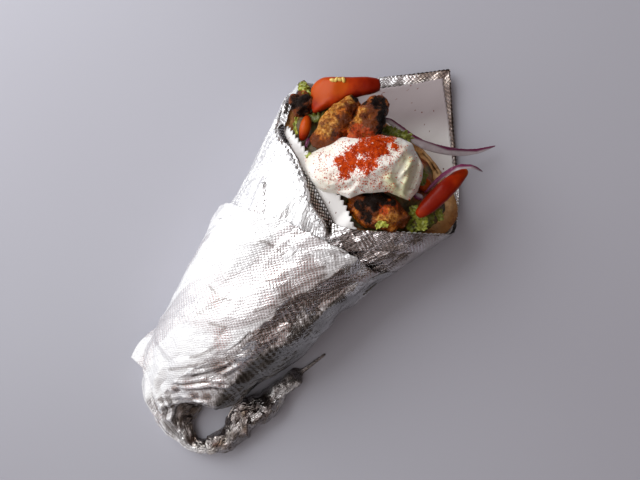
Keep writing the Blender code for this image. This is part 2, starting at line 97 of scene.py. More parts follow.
def flow(places, values, at):         # a smooth curve that never overshoots its values
    places = np.asarray(places, float)
    values = np.asarray(values, float)
    step = np.diff(places)
    slope = np.diff(values) / step
    before, after = slope[:-1], slope[1:]
    sameWay = before * after > 0
    total = np.where(sameWay, before + after, 1.0)
    tangent = np.concatenate([slope[:1], np.where(sameWay, 2 * before * after / total, 0.0), slope[-1:]])
    at = np.clip(at, places[0], places[-1])
    cell = np.clip(np.searchsorted(places, at) - 1, 0, len(step) - 1)
    t = (at - places[cell]) / step[cell]
    return ((2 * t**3 - 3 * t**2 + 1) * values[cell] + (t**3 - 2 * t**2 + t) * step[cell] * tangent[cell]
            + (3 * t**2 - 2 * t**3) * values[cell + 1] + (t**3 - t**2) * step[cell] * tangent[cell + 1])


def ovalTable():                      # a rounded section and how much of its length each place has behind it
    t = np.linspace(0, 2 * math.pi, 4001)
    power = np.where(np.cos(t) > 0, 2 / wrap["bellyPower"], 2 / wrap["crownPower"])
    x = np.sign(np.sin(t)) * np.abs(np.sin(t)) ** power
    z = -np.sign(np.cos(t)) * np.abs(np.cos(t)) ** power
    rise = z * np.where(z < 0, 0.52, 0.67)
    arc = np.concatenate([[0], np.cumsum(np.hypot(np.diff(x), np.diff(rise)))])
    return arc / arc[-1], x, z


ovalShare, ovalSide, ovalRise = ovalTable()
tail = np.array(wrap["tail"], float)
tailSteps = np.hypot(np.diff(tail[:, 0]), np.diff(tail[:, 1]))
tailReach = wrap["neck"] + np.concatenate([[0], np.cumsum(tailSteps)])


def sectionAt(share):
    share = np.mod(share, 1.0)
    return np.interp(share, ovalShare, ovalSide), np.interp(share, ovalShare, ovalRise)


def bodyThenTail(reach, body, column):          # the body's measure up to the neck, then the tail's
    return np.where(reach >= wrap["neck"], flow(tailReach, tail[:, column], reach), body)


def spine(reach):
    middle = (np.array(wrap["left"]) + np.array(wrap["right"])) / 2
    return bodyThenTail(reach, flow(wrap["reach"], middle, reach), 0), bodyThenTail(reach, -reach, 1)


def dipAt(share, reach):              # how far the strip beyond the cover turns in
    slope, width = coverFoil["dip"]
    share = np.mod(share, 1)
    bare = -reach - np.interp(share, *coverFoil["edge"])
    return slope * np.clip(bare, 0, width) * between(share, *coverFoil["dipSpan"])


def wrapPoints(share, reach, inset=0.0, out=0.0, floor=0.0, dipped=True):
    side, rise = sectionAt(share)
    reach = np.asarray(reach, float) + 0 * side
    if dipped:
        out = out - dipAt(share, reach)
    x, y = spine(reach)
    aheadX, aheadY = spine(reach + 0.5)
    backX, backY = spine(reach - 0.5)
    turning = np.clip((reach - wrap["neck"]) / wrap["neckTurn"], 0, 1)
    alongX, alongY = (aheadX - backX) * turning, aheadY - backY
    length = np.hypot(alongX, alongY)
    alongX, alongY = alongX / length, alongY / length
    half = (np.array(wrap["right"], float) - np.array(wrap["left"])) / 2
    body = flow(wrap["reach"], half, reach)
    inner, outer = bodyThenTail(reach, body, 2), bodyThenTail(reach, body, 3)
    height = bodyThenTail(reach, flow(wrap["reach"], wrap["height"], reach), 4)
    lean = bodyThenTail(reach, 0, 5)
    width = np.where(side > 0, inner, outer) - inset + out
    waist = wrap["waist"] * height
    base = inset + floor
    low = base + (waist - base) * (1 + rise)
    high = waist + (height - inset + out - waist) * rise
    z = np.maximum(np.where(rise < 0, low, high) - wrap["basePress"], base)
    z = z * (1 - lean * np.clip(side, 0, 1) ** 1.5)
    start, corner = wrap["flap"]
    z = z + wrap["flapLift"] * np.clip((-reach - start) / (corner - start), 0, 1) ** 1.5
    shiftX, shiftY = wrap["shift"]
    return np.stack([x - alongY * side * width + shiftX, y + alongX * side * width + shiftY, z], axis=-1)


# Uneven surfaces come from a lattice of chance slopes and heights, the same in each run.

chance = np.random.default_rng(11)
latticeWays = chance.normal(size=(1024, 3))
latticeWays /= np.linalg.norm(latticeWays, axis=1)[:, None]
latticeHeights = chance.uniform(-1, 1, 1024)
shuffle = chance.permutation(1024)


def latticeKey(cell):
    key = shuffle[cell[..., 0] & 1023]
    for axis in range(1, cell.shape[-1]):
        key = shuffle[(key + cell[..., axis]) & 1023]
    return key


def latticeHeight(across, along, seed):
    return latticeHeights[latticeKey(np.stack([across, along, 0 * across + seed], -1))]


def grain(points):                    # smooth lumps from about -1 to 1, one to each unit
    cell = np.floor(points).astype(int)
    part = points - cell
    ease = part**3 * (part * (part * 6 - 15) + 10)
    total = 0
    for corner in itertools.product((0, 1), repeat=3):
        corner = np.array(corner)
        way = latticeWays[latticeKey(cell + corner)]
        weight = np.prod(np.where(corner, ease, 1 - ease), axis=-1)
        total = total + np.sum(way * (part - corner), axis=-1) * weight
    return total * 1.7


def creases(flat, size, turn, stretch, seed):   # sharp-edged facets on a turned, stretched, bent lattice
    c, s = math.cos(math.radians(turn)), math.sin(math.radians(turn))
    along = flat[..., 0] * s + flat[..., 1] * c
    across = flat[..., 0] * c - flat[..., 1] * s
    place = np.stack([across / size, along / (size * stretch), np.full(along.shape, seed * 7.3)], axis=-1)
    place[..., 0] += 0.5 * grain(place * 0.9)
    place[..., 1] += 0.5 * grain(place * 0.9 + 31.7)
    cell = np.floor(place[..., :2]).astype(int)
    u, v = (place[..., axis] - cell[..., axis] for axis in (0, 1))
    near, right, top, far = (latticeHeight(cell[..., 0] + i, cell[..., 1] + j, seed)
                             for i, j in ((0, 0), (1, 0), (0, 1), (1, 1)))
    flip = latticeHeight(cell[..., 1], cell[..., 0], seed + 5) > 0
    falling = np.where(u + v < 1, near + u * (right - near) + v * (top - near),
                       far + (1 - u) * (top - far) + (1 - v) * (right - far))
    rising = np.where(u > v, near + u * (right - near) + v * (far - right),
                      near + v * (top - near) + u * (far - top))
    return np.where(flip, falling, rising)


def awayFrom(points, path):           # distance from a path of points, or of x and y seen from above
    path = np.array(path, float)
    if path.shape[1] == 2:
        points, path = points * (1, 1, 0), np.column_stack([path, 0 * path[:, 0]])
    path = path + (*wrap["shift"], 0)
    nearest = np.full(points.shape[:-1], 1e9)
    for start, end in zip(path[:-1], path[1:]):
        way = end - start
        t = np.clip(np.sum((points - start) * way, axis=-1) / np.sum(way * way), 0, 1)
        nearest = np.minimum(nearest, np.linalg.norm(points - start - t[..., None] * way, axis=-1))
    return nearest


def crest(away, width):               # 1 on a line, falling off softly beside it
    return np.exp(-(away / width) ** 2)


def spots(points, places):            # 1 in the middle of each x, y, radius seen from above, 0 past it
    mask = np.zeros(points.shape[:-1])
    for x, y, radius in places:
        away = np.linalg.norm(points[..., :2] - wrap["shift"] - (x, y), axis=-1) + 1.2 * grain(points / 3)
        mask = np.maximum(mask, 1 - fade(0.35 * radius, 1.15 * radius, away))
    return mask


def outward(points):                  # normals of a grid of points
    normal = np.cross(np.gradient(points, axis=1), np.gradient(points, axis=0))
    return normal / np.maximum(np.linalg.norm(normal, axis=-1, keepdims=True), 1e-9)


def raised(points, height):           # the same grid, lifted along its normals
    return points + outward(points) * height[..., None]


def sheetPlaces(points):              # each point's place on the sheet, from the middle column and first row
    across = np.linalg.norm(np.diff(points, axis=1), axis=-1)
    across = np.concatenate([np.zeros((len(points), 1)), np.cumsum(across, axis=1)], axis=1)
    middle = points.shape[1] // 2
    across -= across[:, middle:middle + 1]
    down = np.linalg.norm(np.diff(points, axis=0), axis=-1)
    down = np.concatenate([np.zeros((1, points.shape[1])), np.cumsum(down, axis=0)])
    return np.stack([across, down], axis=-1)


def placeOnBody(piece, node, material):
    piece.data.materials.clear()
    piece.data.materials.append(material)
    if node:
        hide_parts(node)
    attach(piece, "root")


def pick(*pieces):                    # selects these alone, the first one active
    bpy.ops.object.select_all(action="DESELECT")
    for piece in pieces:
        piece.select_set(True)
    bpy.context.view_layer.objects.active = pieces[0]


def newPrimitive(name, add, **settings):
    bpy.ops.object.select_all(action="DESELECT")
    add(**settings)
    piece = bpy.context.active_object
    piece.name = name
    piece.data.name = name
    return piece


def mergeDoubles(piece):
    pick(piece)
    bpy.ops.object.mode_set(mode="EDIT")
    bpy.ops.mesh.select_all(action="SELECT")
    bpy.ops.mesh.remove_doubles(threshold=1e-6)
    bpy.ops.object.mode_set(mode="OBJECT")


def applyAll(piece):
    pick(piece)
    for modifier in list(piece.modifiers):
        bpy.ops.object.modifier_apply(modifier=modifier.name)


def smoothed(piece, rounds):
    piece.modifiers.new("even", "SMOOTH").iterations = rounds
    applyAll(piece)


def readVertices(piece, measure):
    flat = np.empty(len(piece.data.vertices) * 3)
    piece.data.vertices.foreach_get(measure, flat)
    return flat.reshape(-1, 3)


def verticesOf(piece):                # in millimetres
    return readVertices(piece, "co") / mm


def moveVertices(piece, points):
    piece.data.vertices.foreach_set("co", (points * mm).ravel())
    piece.data.update()


def setMask(piece, name, values):     # one number at each vertex, which a material reads
    mask = piece.data.attributes.new(name, "FLOAT", "POINT")
    mask.data.foreach_set("value", np.asarray(values, np.float32))


def layGrid(name, points, masks, closed=False, sheet=None):    # a grid laid over rows of points
    rows, columns = points.shape[:2]
    if closed:
        points[:, 0] = points[:, -1] = (points[:, 0] + points[:, -1]) / 2
    piece = newPrimitive(name, bpy.ops.mesh.primitive_grid_add, x_subdivisions=columns - 1,
                         y_subdivisions=rows - 1, size=1)
    flat = readVertices(piece, "co")
    column = np.rint((flat[:, 0] + 0.5) * (columns - 1)).astype(int)
    row = np.rint((flat[:, 1] + 0.5) * (rows - 1)).astype(int)
    moveVertices(piece, points[row, column])
    corners = np.empty(len(piece.data.loops), int)
    piece.data.loops.foreach_get("vertex_index", corners)
    places = (sheetPlaces(points) if sheet is None else sheet)[row, column][corners] / 100
    piece.data.uv_layers.active.name = "sheet"
    piece.data.uv_layers.active.data.foreach_set("uv", places.ravel())
    for mask, values in masks.items():
        setMask(piece, mask, np.broadcast_to(values, points.shape[:2])[row, column])
    if closed:
        mergeDoubles(piece)
    bpy.ops.object.shade_smooth()
    return piece


def finerCopy(name, node, voxel, rounds):       # of a CAD solid, given back with its vertices and normals
    piece = bpy.data.objects.new(name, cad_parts[node].data.copy())
    bpy.context.scene.collection.objects.link(piece)
    mergeDoubles(piece)
    remesh = piece.modifiers.new("remesh", "REMESH")
    remesh.mode = "VOXEL"
    remesh.voxel_size = voxel * mm
    smoothed(piece, rounds)
    bpy.ops.object.shade_smooth()
    return piece, verticesOf(piece), readVertices(piece, "normal")


def newMesh(name, points, faces):
    mesh = bpy.data.meshes.new(name)
    mesh.from_pydata((points * mm).tolist(), [], faces)
    return mesh


# Finishes. Each function below gives the values and the nodes for the shader's own sockets.

class NodeWork:                       # makes and joins the nodes of one material, group or world
    def __init__(self, tree):
        self.nodes, self.links = tree.nodes, tree.links

    def feed(self, socket, value):    # a number, a colour or another node's output
        if isinstance(value, bpy.types.NodeSocket):
            self.links.new(value, socket)
        elif isinstance(value, tuple) and socket.type == "RGBA":
            socket.default_value = (*value, 1)
        else:
            socket.default_value = value

    def node(self, kind, inputs, **settings):
        node = self.nodes.new("ShaderNode" + kind)
        for name, value in settings.items():
            setattr(node, name, value)
        for socket, value in inputs.items():
            self.feed(node.inputs[socket], value)
        return node

    def math(self, operation, *values):
        return self.node("Math", dict(enumerate(values)), operation=operation).outputs[0]

    def vector(self, operation, *values, output=0):
        return self.node("VectorMath", dict(enumerate(values)), operation=operation).outputs[output]

    def scaled(self, vector, amount):
        return self.node("VectorMath", {0: vector, "Scale": amount}, operation="SCALE").outputs[0]

    def mix(self, amount, first, second, blend="MIX"):
        node = self.node("Mix", {}, data_type="RGBA", blend_type=blend)
        for socket, value in ((0, amount), (6, first), (7, second)):
            self.feed(node.inputs[socket], value)
        return node.outputs[2]

    def ramp(self, factor, *stops):   # each stop a place and a colour, or a place and a grey
        node = self.node("ValToRGB", {0: factor})
        while len(node.color_ramp.elements) < len(stops):
            node.color_ramp.elements.new(0.5)
        for element, (place, colour) in zip(node.color_ramp.elements, stops):
            element.position = place
            element.color = (*colour, 1) if isinstance(colour, tuple) else (colour, colour, colour, 1)
        return node.outputs[0]

    def coords(self, output="Object"):
        return self.node("TexCoord", {}).outputs[output]

    def sheet(self):                  # where a point lies on its sheet laid flat, in tenths of a metre
        return self.node("UVMap", {}, uv_map="sheet").outputs[0]

    def noise(self, size, detail=4.0, rough=0.55):         # lumps of a size in millimetres
        return self.node("TexNoise", {"Vector": self.coords(), "Scale": 1000 / size, "Detail": detail,
                                      "Roughness": rough}).outputs["Fac"]

    def mask(self, name):
        return self.node("Attribute", {}, attribute_name=name).outputs["Fac"]

    def group(self, tree, **inputs):
        return self.node("Group", inputs, node_tree=tree).outputs[0]

    def bump(self, height, depth, strength=1.0, normal=None):
        inputs = {"Height": height, "Distance": depth * mm, "Strength": strength}
        if normal is not None:
            inputs["Normal"] = normal
        return self.node("Bump", inputs).outputs[0]

    def relief(self, size, detail, rough, depth, strength):
        grained = self.group(surfaceGrain, Size=size, Detail=detail, Roughness=rough)
        return self.bump(grained, depth, strength)


def newMaterial(name, finish):
    material = bpy.data.materials.new(name)
    material.use_nodes = True
    work = NodeWork(material.node_tree)
    shader = material.node_tree.nodes["Principled BSDF"]
    for socket, value in finish(work).items():
        work.feed(shader.inputs[socket], value)
    return material


def newGroup(name, output, build, **inputs):
    tree = bpy.data.node_groups.new(name, "ShaderNodeTree")
    for socket, value in inputs.items():
        tree.interface.new_socket(socket, in_out="INPUT", socket_type="NodeSocketFloat").default_value = value
    tree.interface.new_socket(output, in_out="OUTPUT", socket_type="NodeSocketFloat")
    work = NodeWork(tree)
    result = build(work, tree.nodes.new("NodeGroupInput").outputs)
    work.feed(tree.nodes.new("NodeGroupOutput").inputs[output], result)
    return tree


def grainHeight(work, given):         # the fine unevenness of paper, crust, flesh and leaf
    scale = work.math("DIVIDE", 1000, given["Size"])
    return work.node("TexNoise", {"Vector": work.coords(), "Scale": scale, "Detail": given["Detail"],
                                  "Roughness": given["Roughness"]}).outputs["Fac"]


def dimpleHeight(work, given):        # a close pattern of small dimples pressed into a sheet
    turns = work.math("DIVIDE", 100 * math.pi, given["Pitch"])
    x, y = work.node("SeparateXYZ", {0: work.scaled(work.sheet(), turns)}).outputs[:2]
    waves = [work.math("SINE", work.math(way, x, y)) for way in ("ADD", "SUBTRACT")]
    return work.math("POWER", work.math("ABSOLUTE", work.math("MULTIPLY", *waves)), given["Softness"])


def facetHeight(work, given):         # flat-sided folds: each cell of a bent lattice tilts its own way
    turned = work.node("VectorRotate", {"Vector": work.sheet(), "Angle": given["Turn"]},
                       rotation_type="Z_AXIS")
    cells = work.scaled(turned.outputs[0], work.math("DIVIDE", 100, given["Size"]))
    longer = work.node("CombineXYZ", {0: 1, 1: work.math("DIVIDE", 1, given["Stretch"])}).outputs[0]
    squeezed = work.vector("MULTIPLY", cells, longer)
    wander = work.node("TexNoise", {"Vector": squeezed, "Scale": 1.3, "Detail": 2}, noise_dimensions="2D")
    bent = work.vector("MULTIPLY_ADD", wander.outputs["Color"], (0.9, 0.9, 0), squeezed)
    cell = work.node("TexVoronoi", {"Vector": bent, "Scale": 1}, voronoi_dimensions="2D")
    inside = work.vector("SUBTRACT", bent, cell.outputs["Position"])
    tilt = work.vector("SUBTRACT", cell.outputs["Color"], (0.5, 0.5, 0.5))
    lift = work.vector("DOT_PRODUCT", inside, tilt, output="Value")
    return work.math("MULTIPLY", lift, work.math("MULTIPLY", given["Size"], given["Slope"]))


def foilFinish(work):                 # masks: painted shade darkens, grey cools that painted shade, painted highlight whitens, dotted tints dimples
    paintedShade, grey = work.mask("paintedShade"), work.mask("grey")
    tone = work.ramp(work.noise(22, 3), (0.3, (0.86, 0.85, 0.86)), (0.7, (0.96, 0.96, 0.96)))
    # painted shade: the dark, warm room seen in the foil, given as a dark base colour
    dark = work.ramp(work.noise(5), (0.35, (0.100, 0.056, 0.042)), (0.65, (0.175, 0.138, 0.108)))
    dark = work.mix(grey, dark, (0.058, 0.052, 0.044))
    dimples = work.group(pressedDimples, Pitch=2.0, Softness=0.7)
    dots = work.math("MULTIPLY", work.ramp(dimples, (0.45, 0.0), (0.75, 1.0)), work.mask("dotted"))
    dotTone = work.mix(paintedShade, (0.54, 0.30, 0.29), (0.50, 0.41, 0.35))
    dotTone = work.mix(grey, dotTone, (0.62, 0.60, 0.60))
    folds = [work.group(foldedFacets, Size=size, Stretch=stretch, Turn=math.radians(turn), Slope=slope)
             for size, stretch, turn, slope in ((9.0, 1.8, 28, 0.36), (4.2, 1.5, 40, 0.24))]
    folded = work.bump(work.math("MULTIPLY", work.math("ADD", *folds), work.mask("creased")), 1.0)
    plainer = work.math("SUBTRACT", 1.0, work.math("MULTIPLY", paintedShade, 0.7))
    return {
        "Base Color": work.mix(dots, work.mix(paintedShade, tone, dark), dotTone),
        # less metal where a highlight is painted, so the foil there shows as bright diffuse white
        "Metallic": work.math("SUBTRACT", 1.0, work.math("MULTIPLY", work.mask("paintedHighlight"), 0.55)),
        "Roughness": work.ramp(work.noise(9), (0.3, 0.12), (0.7, 0.22)),
        "Specular IOR Level": 0.3,
        "Normal": work.bump(work.math("MULTIPLY", dimples, plainer), 0.15, 0.9, folded),
    }


def paperFinish(work):
    clean = work.ramp(work.noise(30, 3), (0.3, (0.80, 0.78, 0.76)), (0.7, (0.88, 0.86, 0.84)))
    plain = work.mix(work.mask("shaded"), clean, (0.36, 0.305, 0.31))
    flecks = work.node("TexVoronoi", {"Vector": work.sheet(), "Scale": 100 / 7}, voronoi_dimensions="2D")
    near = work.math("LESS_THAN", flecks.outputs["Distance"], 0.058)
    fleck = work.math("MULTIPLY", near, work.math("GREATER_THAN", work.noise(16, 2), 0.52))
    return {
        "Base Color": work.mix(fleck, plain, (0.16, 0.05, 0.04)),
        "Roughness": 0.62,
        "Specular IOR Level": 0.35,
        "Normal": work.relief(1.2, 5, 0.65, 0.1, 0.35),
    }


def breadFinish(work):                # masks: inside is crumb, edge is the rim, pale is its lighter side
    crust = work.ramp(work.noise(9, 6, 0.65), (0.30, (0.40, 0.17, 0.045)), (0.50, (0.60, 0.33, 0.11)),
                      (0.70, (0.78, 0.52, 0.23)))
    toast = work.ramp(work.noise(7, 5, 0.6), (0.50, 0.0), (0.62, 1.0))
    crust = work.mix(toast, crust, (0.16, 0.055, 0.016))
    crumb = work.ramp(work.noise(5, 6, 0.65), (0.38, (0.34, 0.11, 0.02)), (0.50, (0.74, 0.36, 0.11)),
                      (0.62, (0.95, 0.62, 0.29)))
    crumb = work.mix(work.math("MULTIPLY", toast, 0.75), crumb, (0.20, 0.065, 0.016))
    pale = work.math("MULTIPLY", work.mask("pale"), work.ramp(work.noise(4, 5), (0.35, 0.1), (0.6, 0.8)))
    crumb = work.mix(pale, crumb, (0.98, 0.62, 0.30))
    crust = work.mix(work.mask("edge"), crust, (0.40, 0.15, 0.04))
    return {
        "Base Color": work.mix(work.mask("inside"), crust, crumb),
        "Roughness": work.ramp(toast, (0.0, 0.75), (1.0, 0.5)),
        "Specular IOR Level": 0.25,
        "Normal": work.relief(2.0, 6, 0.7, 1.0, 0.8),
    }


def chickenFinish(work):              # masks: char and brown from the grill, gold a golden tone with painted glints, spice from the seasoning
    flesh = work.ramp(work.noise(6), (0.28, (0.05, 0.009, 0.001)), (0.42, (0.17, 0.034, 0.002)),
                      (0.55, (0.38, 0.100, 0.006)), (0.70, (0.62, 0.23, 0.022)))
    strands = work.noise(1.5, 6, 0.7)
    # painted shade in the strands' hollows and painted highlight on their crests
    deep = work.ramp(strands, (0.36, (0.26, 0.15, 0.09)), (0.50, (1.0, 0.92, 0.80)), (0.62, (1.6, 1.5, 1.2)))
    tone = work.mix(work.mask("brown"), work.mix(1.0, flesh, deep, "MULTIPLY"), (0.15, 0.030, 0.002))
    dust = work.math("MULTIPLY", work.math("SUBTRACT", work.noise(1.2, 4, 0.7), 0.5), 4.0)
    dust = work.math("ADD", dust, work.mask("spice"))
    tone = work.mix(work.ramp(dust, (0.55, 0.0), (1.0, 0.85)), tone, (0.52, 0.055, 0.002))
    # golden tone with painted glints along the strands, where the gold mask lies
    shine = work.ramp(strands, (0.40, (0.30, 0.075, 0.004)), (0.50, (0.60, 0.23, 0.020)),
                      (0.62, (0.95, 0.55, 0.14)))
    tone = work.mix(work.math("MULTIPLY", work.mask("goldAndGlint"), 0.7), tone, shine)
    ragged = work.math("SUBTRACT", work.math("MULTIPLY", work.noise(3.5, 6, 0.72), 3.2), 1.6)
    black = work.ramp(work.math("ADD", work.mask("char"), ragged), (0.35, 0.0), (0.75, 1.0))
    wet = work.ramp(work.noise(3.0), (0.48, 0.0), (0.62, 0.5))
    rough = work.bump(strands, 1.3, 1.0, work.bump(work.noise(0.7, 3, 0.6), 0.25, 0.6))
    return {
        "Base Color": work.mix(black, tone, (0.012, 0.006, 0.004)),
        "Roughness": work.ramp(work.noise(1.8), (0.35, 0.16), (0.65, 0.50)),
        "Specular IOR Level": work.ramp(black, (0.0, 0.25), (1.0, 0.10)),
        "Coat Weight": work.math("MULTIPLY", wet, work.ramp(black, (0.0, 0.8), (1.0, 0.3))),
        "Coat Roughness": 0.12,
        "Subsurface Weight": 0.05,
        "Subsurface Radius": (0.003, 0.0012, 0.0006),
        "Normal": rough,
        "Coat Normal": rough,
    }


def sauceFinish(work):
    cream = work.ramp(work.noise(12, 3), (0.3, (0.84, 0.78, 0.66)), (0.65, (0.92, 0.90, 0.84)))
    folded = work.mix(work.mask("fold"), cream, (0.76, 0.75, 0.46))
    ragged = work.math("MULTIPLY", work.math("SUBTRACT", work.noise(0.9, 4, 0.7), 0.5), 3.6)
    broad = work.math("MULTIPLY", work.math("SUBTRACT", work.noise(4, 3), 0.5), 1.4)
    dust = work.math("ADD", work.math("ADD", work.mask("paprika"), ragged), broad)
    dusted = work.ramp(dust, (0.45, 0.0), (0.65, 1.0))
    red = work.ramp(work.noise(2.2), (0.35, (0.32, 0.016, 0.001)), (0.65, (0.70, 0.085, 0.005)))
    return {
        "Base Color": work.mix(dusted, folded, red),
        "Roughness": 0.34,
        "Specular IOR Level": work.ramp(dusted, (0.0, 0.5), (1.0, 0.05)),
        "Subsurface Weight": 0.05,
        "Subsurface Radius": (0.003, 0.002, 0.0015),
        "Normal": work.relief(2.5, 3, 0.55, 0.2, 0.3),
    }


def paprikaFinish(work):
    red = work.ramp(work.noise(1.5, 2), (0.35, (0.34, 0.018, 0.001)), (0.65, (0.72, 0.090, 0.005)))
    return {"Base Color": red, "Roughness": 0.7, "Specular IOR Level": 0.1}


def tomatoFinish(work):
    tone = work.ramp(work.noise(9, 3), (0.3, (0.21, 0.009, 0.002)), (0.7, (0.46, 0.040, 0.004)))
    tone = work.mix(work.mask("pale"), tone, (0.50, 0.078, 0.004))
    return {
        "Base Color": work.mix(work.mask("skin"), tone, (0.19, 0.006, 0.002)),
        "Roughness": 0.28,
        "Specular IOR Level": 0.12,
        "Subsurface Weight": 0.05,
        "Subsurface Radius": (0.005, 0.0012, 0.0006),
        "Normal": work.relief(1.4, 4, 0.6, 0.12, 0.35),
    }


def seedFinish(work):
    tone = work.ramp(work.noise(2, 2), (0.3, (0.62, 0.38, 0.06)), (0.7, (0.80, 0.58, 0.16)))
    return {"Base Color": tone, "Roughness": 0.3}


def onionFinish(work):
    flesh = work.ramp(work.noise(3, 3), (0.3, (0.72, 0.62, 0.66)), (0.7, (0.86, 0.80, 0.82)))
    return {
        "Base Color": work.mix(work.mask("purple"), flesh, (0.22, 0.03, 0.10)),
        "Roughness": 0.22,
        "Transmission Weight": 0.35,
        "IOR": 1.36,
        "Normal": work.relief(1.2, 3, 0.55, 0.1, 0.3),
    }


def leafFinish(work):
    tone = work.noise(5)
    dark = work.ramp(tone, (0.3, (0.03, 0.038, 0.006)), (0.7, (0.11, 0.12, 0.018)))
    light = work.ramp(tone, (0.3, (0.22, 0.25, 0.02)), (0.7, (0.50, 0.51, 0.07)))
    return {
        "Base Color": work.mix(work.mask("bright"), dark, light),
        "Roughness": 0.35,
        "Subsurface Weight": 0.1,
        "Subsurface Radius": (0.001, 0.002, 0.0005),
        "Normal": work.relief(1.3, 4, 0.6, 0.25, 0.5),
    }


def fillingFinish(work):
    tone = work.noise(5, 5, 0.6)
    greens = work.ramp(tone, (0.30, (0.03, 0.03, 0.008)), (0.48, (0.13, 0.07, 0.018)),
                       (0.58, (0.09, 0.12, 0.022)), (0.72, (0.34, 0.15, 0.05)))
    juicy = work.ramp(tone, (0.35, (0.24, 0.035, 0.006)), (0.65, (0.50, 0.16, 0.04)))
    return {
        "Base Color": work.mix(work.mask("juicy"), greens, juicy),
        "Roughness": 0.5,
        "Normal": work.relief(2.0, 5, 0.55, 0.8, 0.8),
    }


print("stage: materials")
surfaceGrain = newGroup("surfaceGrain", "Height", grainHeight, Size=2.0, Detail=4.0, Roughness=0.55)
pressedDimples = newGroup("pressedDimples", "Height", dimpleHeight, Pitch=1.6, Softness=0.5)
foldedFacets = newGroup("foldedFacets", "Height", facetHeight, Size=8.0, Stretch=2.0, Turn=0.0, Slope=0.5)
embossedFoil = newMaterial("embossedFoil", foilFinish)


crumple = {                           # facet size, turn, stretch and height of each layer of creases
    "layers": ((15.0, -28, 2.4, 1.2), (7.0, -34, 2.0, 0.65), (3.4, 12, 1.3, 0.17)),
    "deepest": 0.9,
    "ribbed": ((0.27, 0.33), (0.40, 0.45)),     # shares with close ribs across the foil
    "ribPitch": 2.9,
    "ribHeight": 0.28,
}


def crumpled(points, share, strength):
    flat = sheetPlaces(points)
    flat[..., 1] = points[..., 1]
    height = 0
    for seed, (size, turn, stretch, tall) in enumerate(crumple["layers"], 1):
        height = height + tall * creases(flat, size, turn, stretch, seed)
    ribbed = between(share, *crumple["ribbed"]) * (0.5 + 0.5 * np.clip(grain(points / 12), -1, 1))
    along = (points[..., 1] + 0.35 * points[..., 0]) / crumple["ribPitch"]
    wave = np.sin(2 * math.pi * along + 2.5 * grain(points / 9))
    height = (height + crumple["ribHeight"] * ribbed * wave) * strength
    deepest = crumple["deepest"]
    return raised(points, np.where(height < 0, deepest * np.tanh(height / deepest), height))


def onFloor(points):
    points[..., 2] = np.maximum(points[..., 2], wrap["clearance"])
    return points


def teethAt(points, pitch, depth):    # a zigzag along a line of points
    along = np.concatenate([[0], np.cumsum(np.linalg.norm(np.diff(points, axis=0), axis=1))])
    ragged = 0.75 + 0.25 * grain(np.stack([along / 4, 0 * along, 0 * along], -1))
    return depth * ragged * np.abs(np.mod(along / pitch, 1) * 2 - 1)


mouthFoil = {
    "rim": ((0, 0.055, 0.102, 0.155, 0.208, 0.24, 0.27, 0.307, 0.371, 0.428, 0.451, 0.471, 0.488, 0.522,
             0.553, 0.58, 0.608, 0.64, 0.681, 0.70, 0.726, 0.826, 0.916, 0.96, 1),          # shares
            (111, 94.5, 81, 66, 51, 46.5, 44.5, 40, 29, 17.2, 13.8, 11.8, 13.4, 16.6, 19.2, 21.2, 24, 26.5,
             29.5, 33, 47, 61, 87, 99.5, 111)),                                             # y
    "wall": 0.35,
    "columns": 720,
    "rows": 90,
    "lining": 14,                     # how far its folded edge reaches down inside
    "liningRows": 11,
    "underLap": 9,
    "teeth": (2.2, 0.7),              # pitch and depth, round the flap
    "flap": ((0.80, 0.84), (0.16, 0.20)),
    "front": ((0.14, 0.22), (0.43, 0.46)),
    "frontCorner": (0.27, 0.33),
    "band": ((0.30, 0.34), (0.46, 0.49)),
    "left": ((0.47, 0.52), (0.88, 0.95)),
    # the hem and its folds get painted shade and dark reflection
    "hem": ((0.93, 0.97), (0.10, 0.16)),
    "hemFolds": ((-25, 81, 5), (-22, 84, 5), (-19, 87, 5), (-15, 90, 5), (-12, 93, 5), (-10, 96, 5)),
}


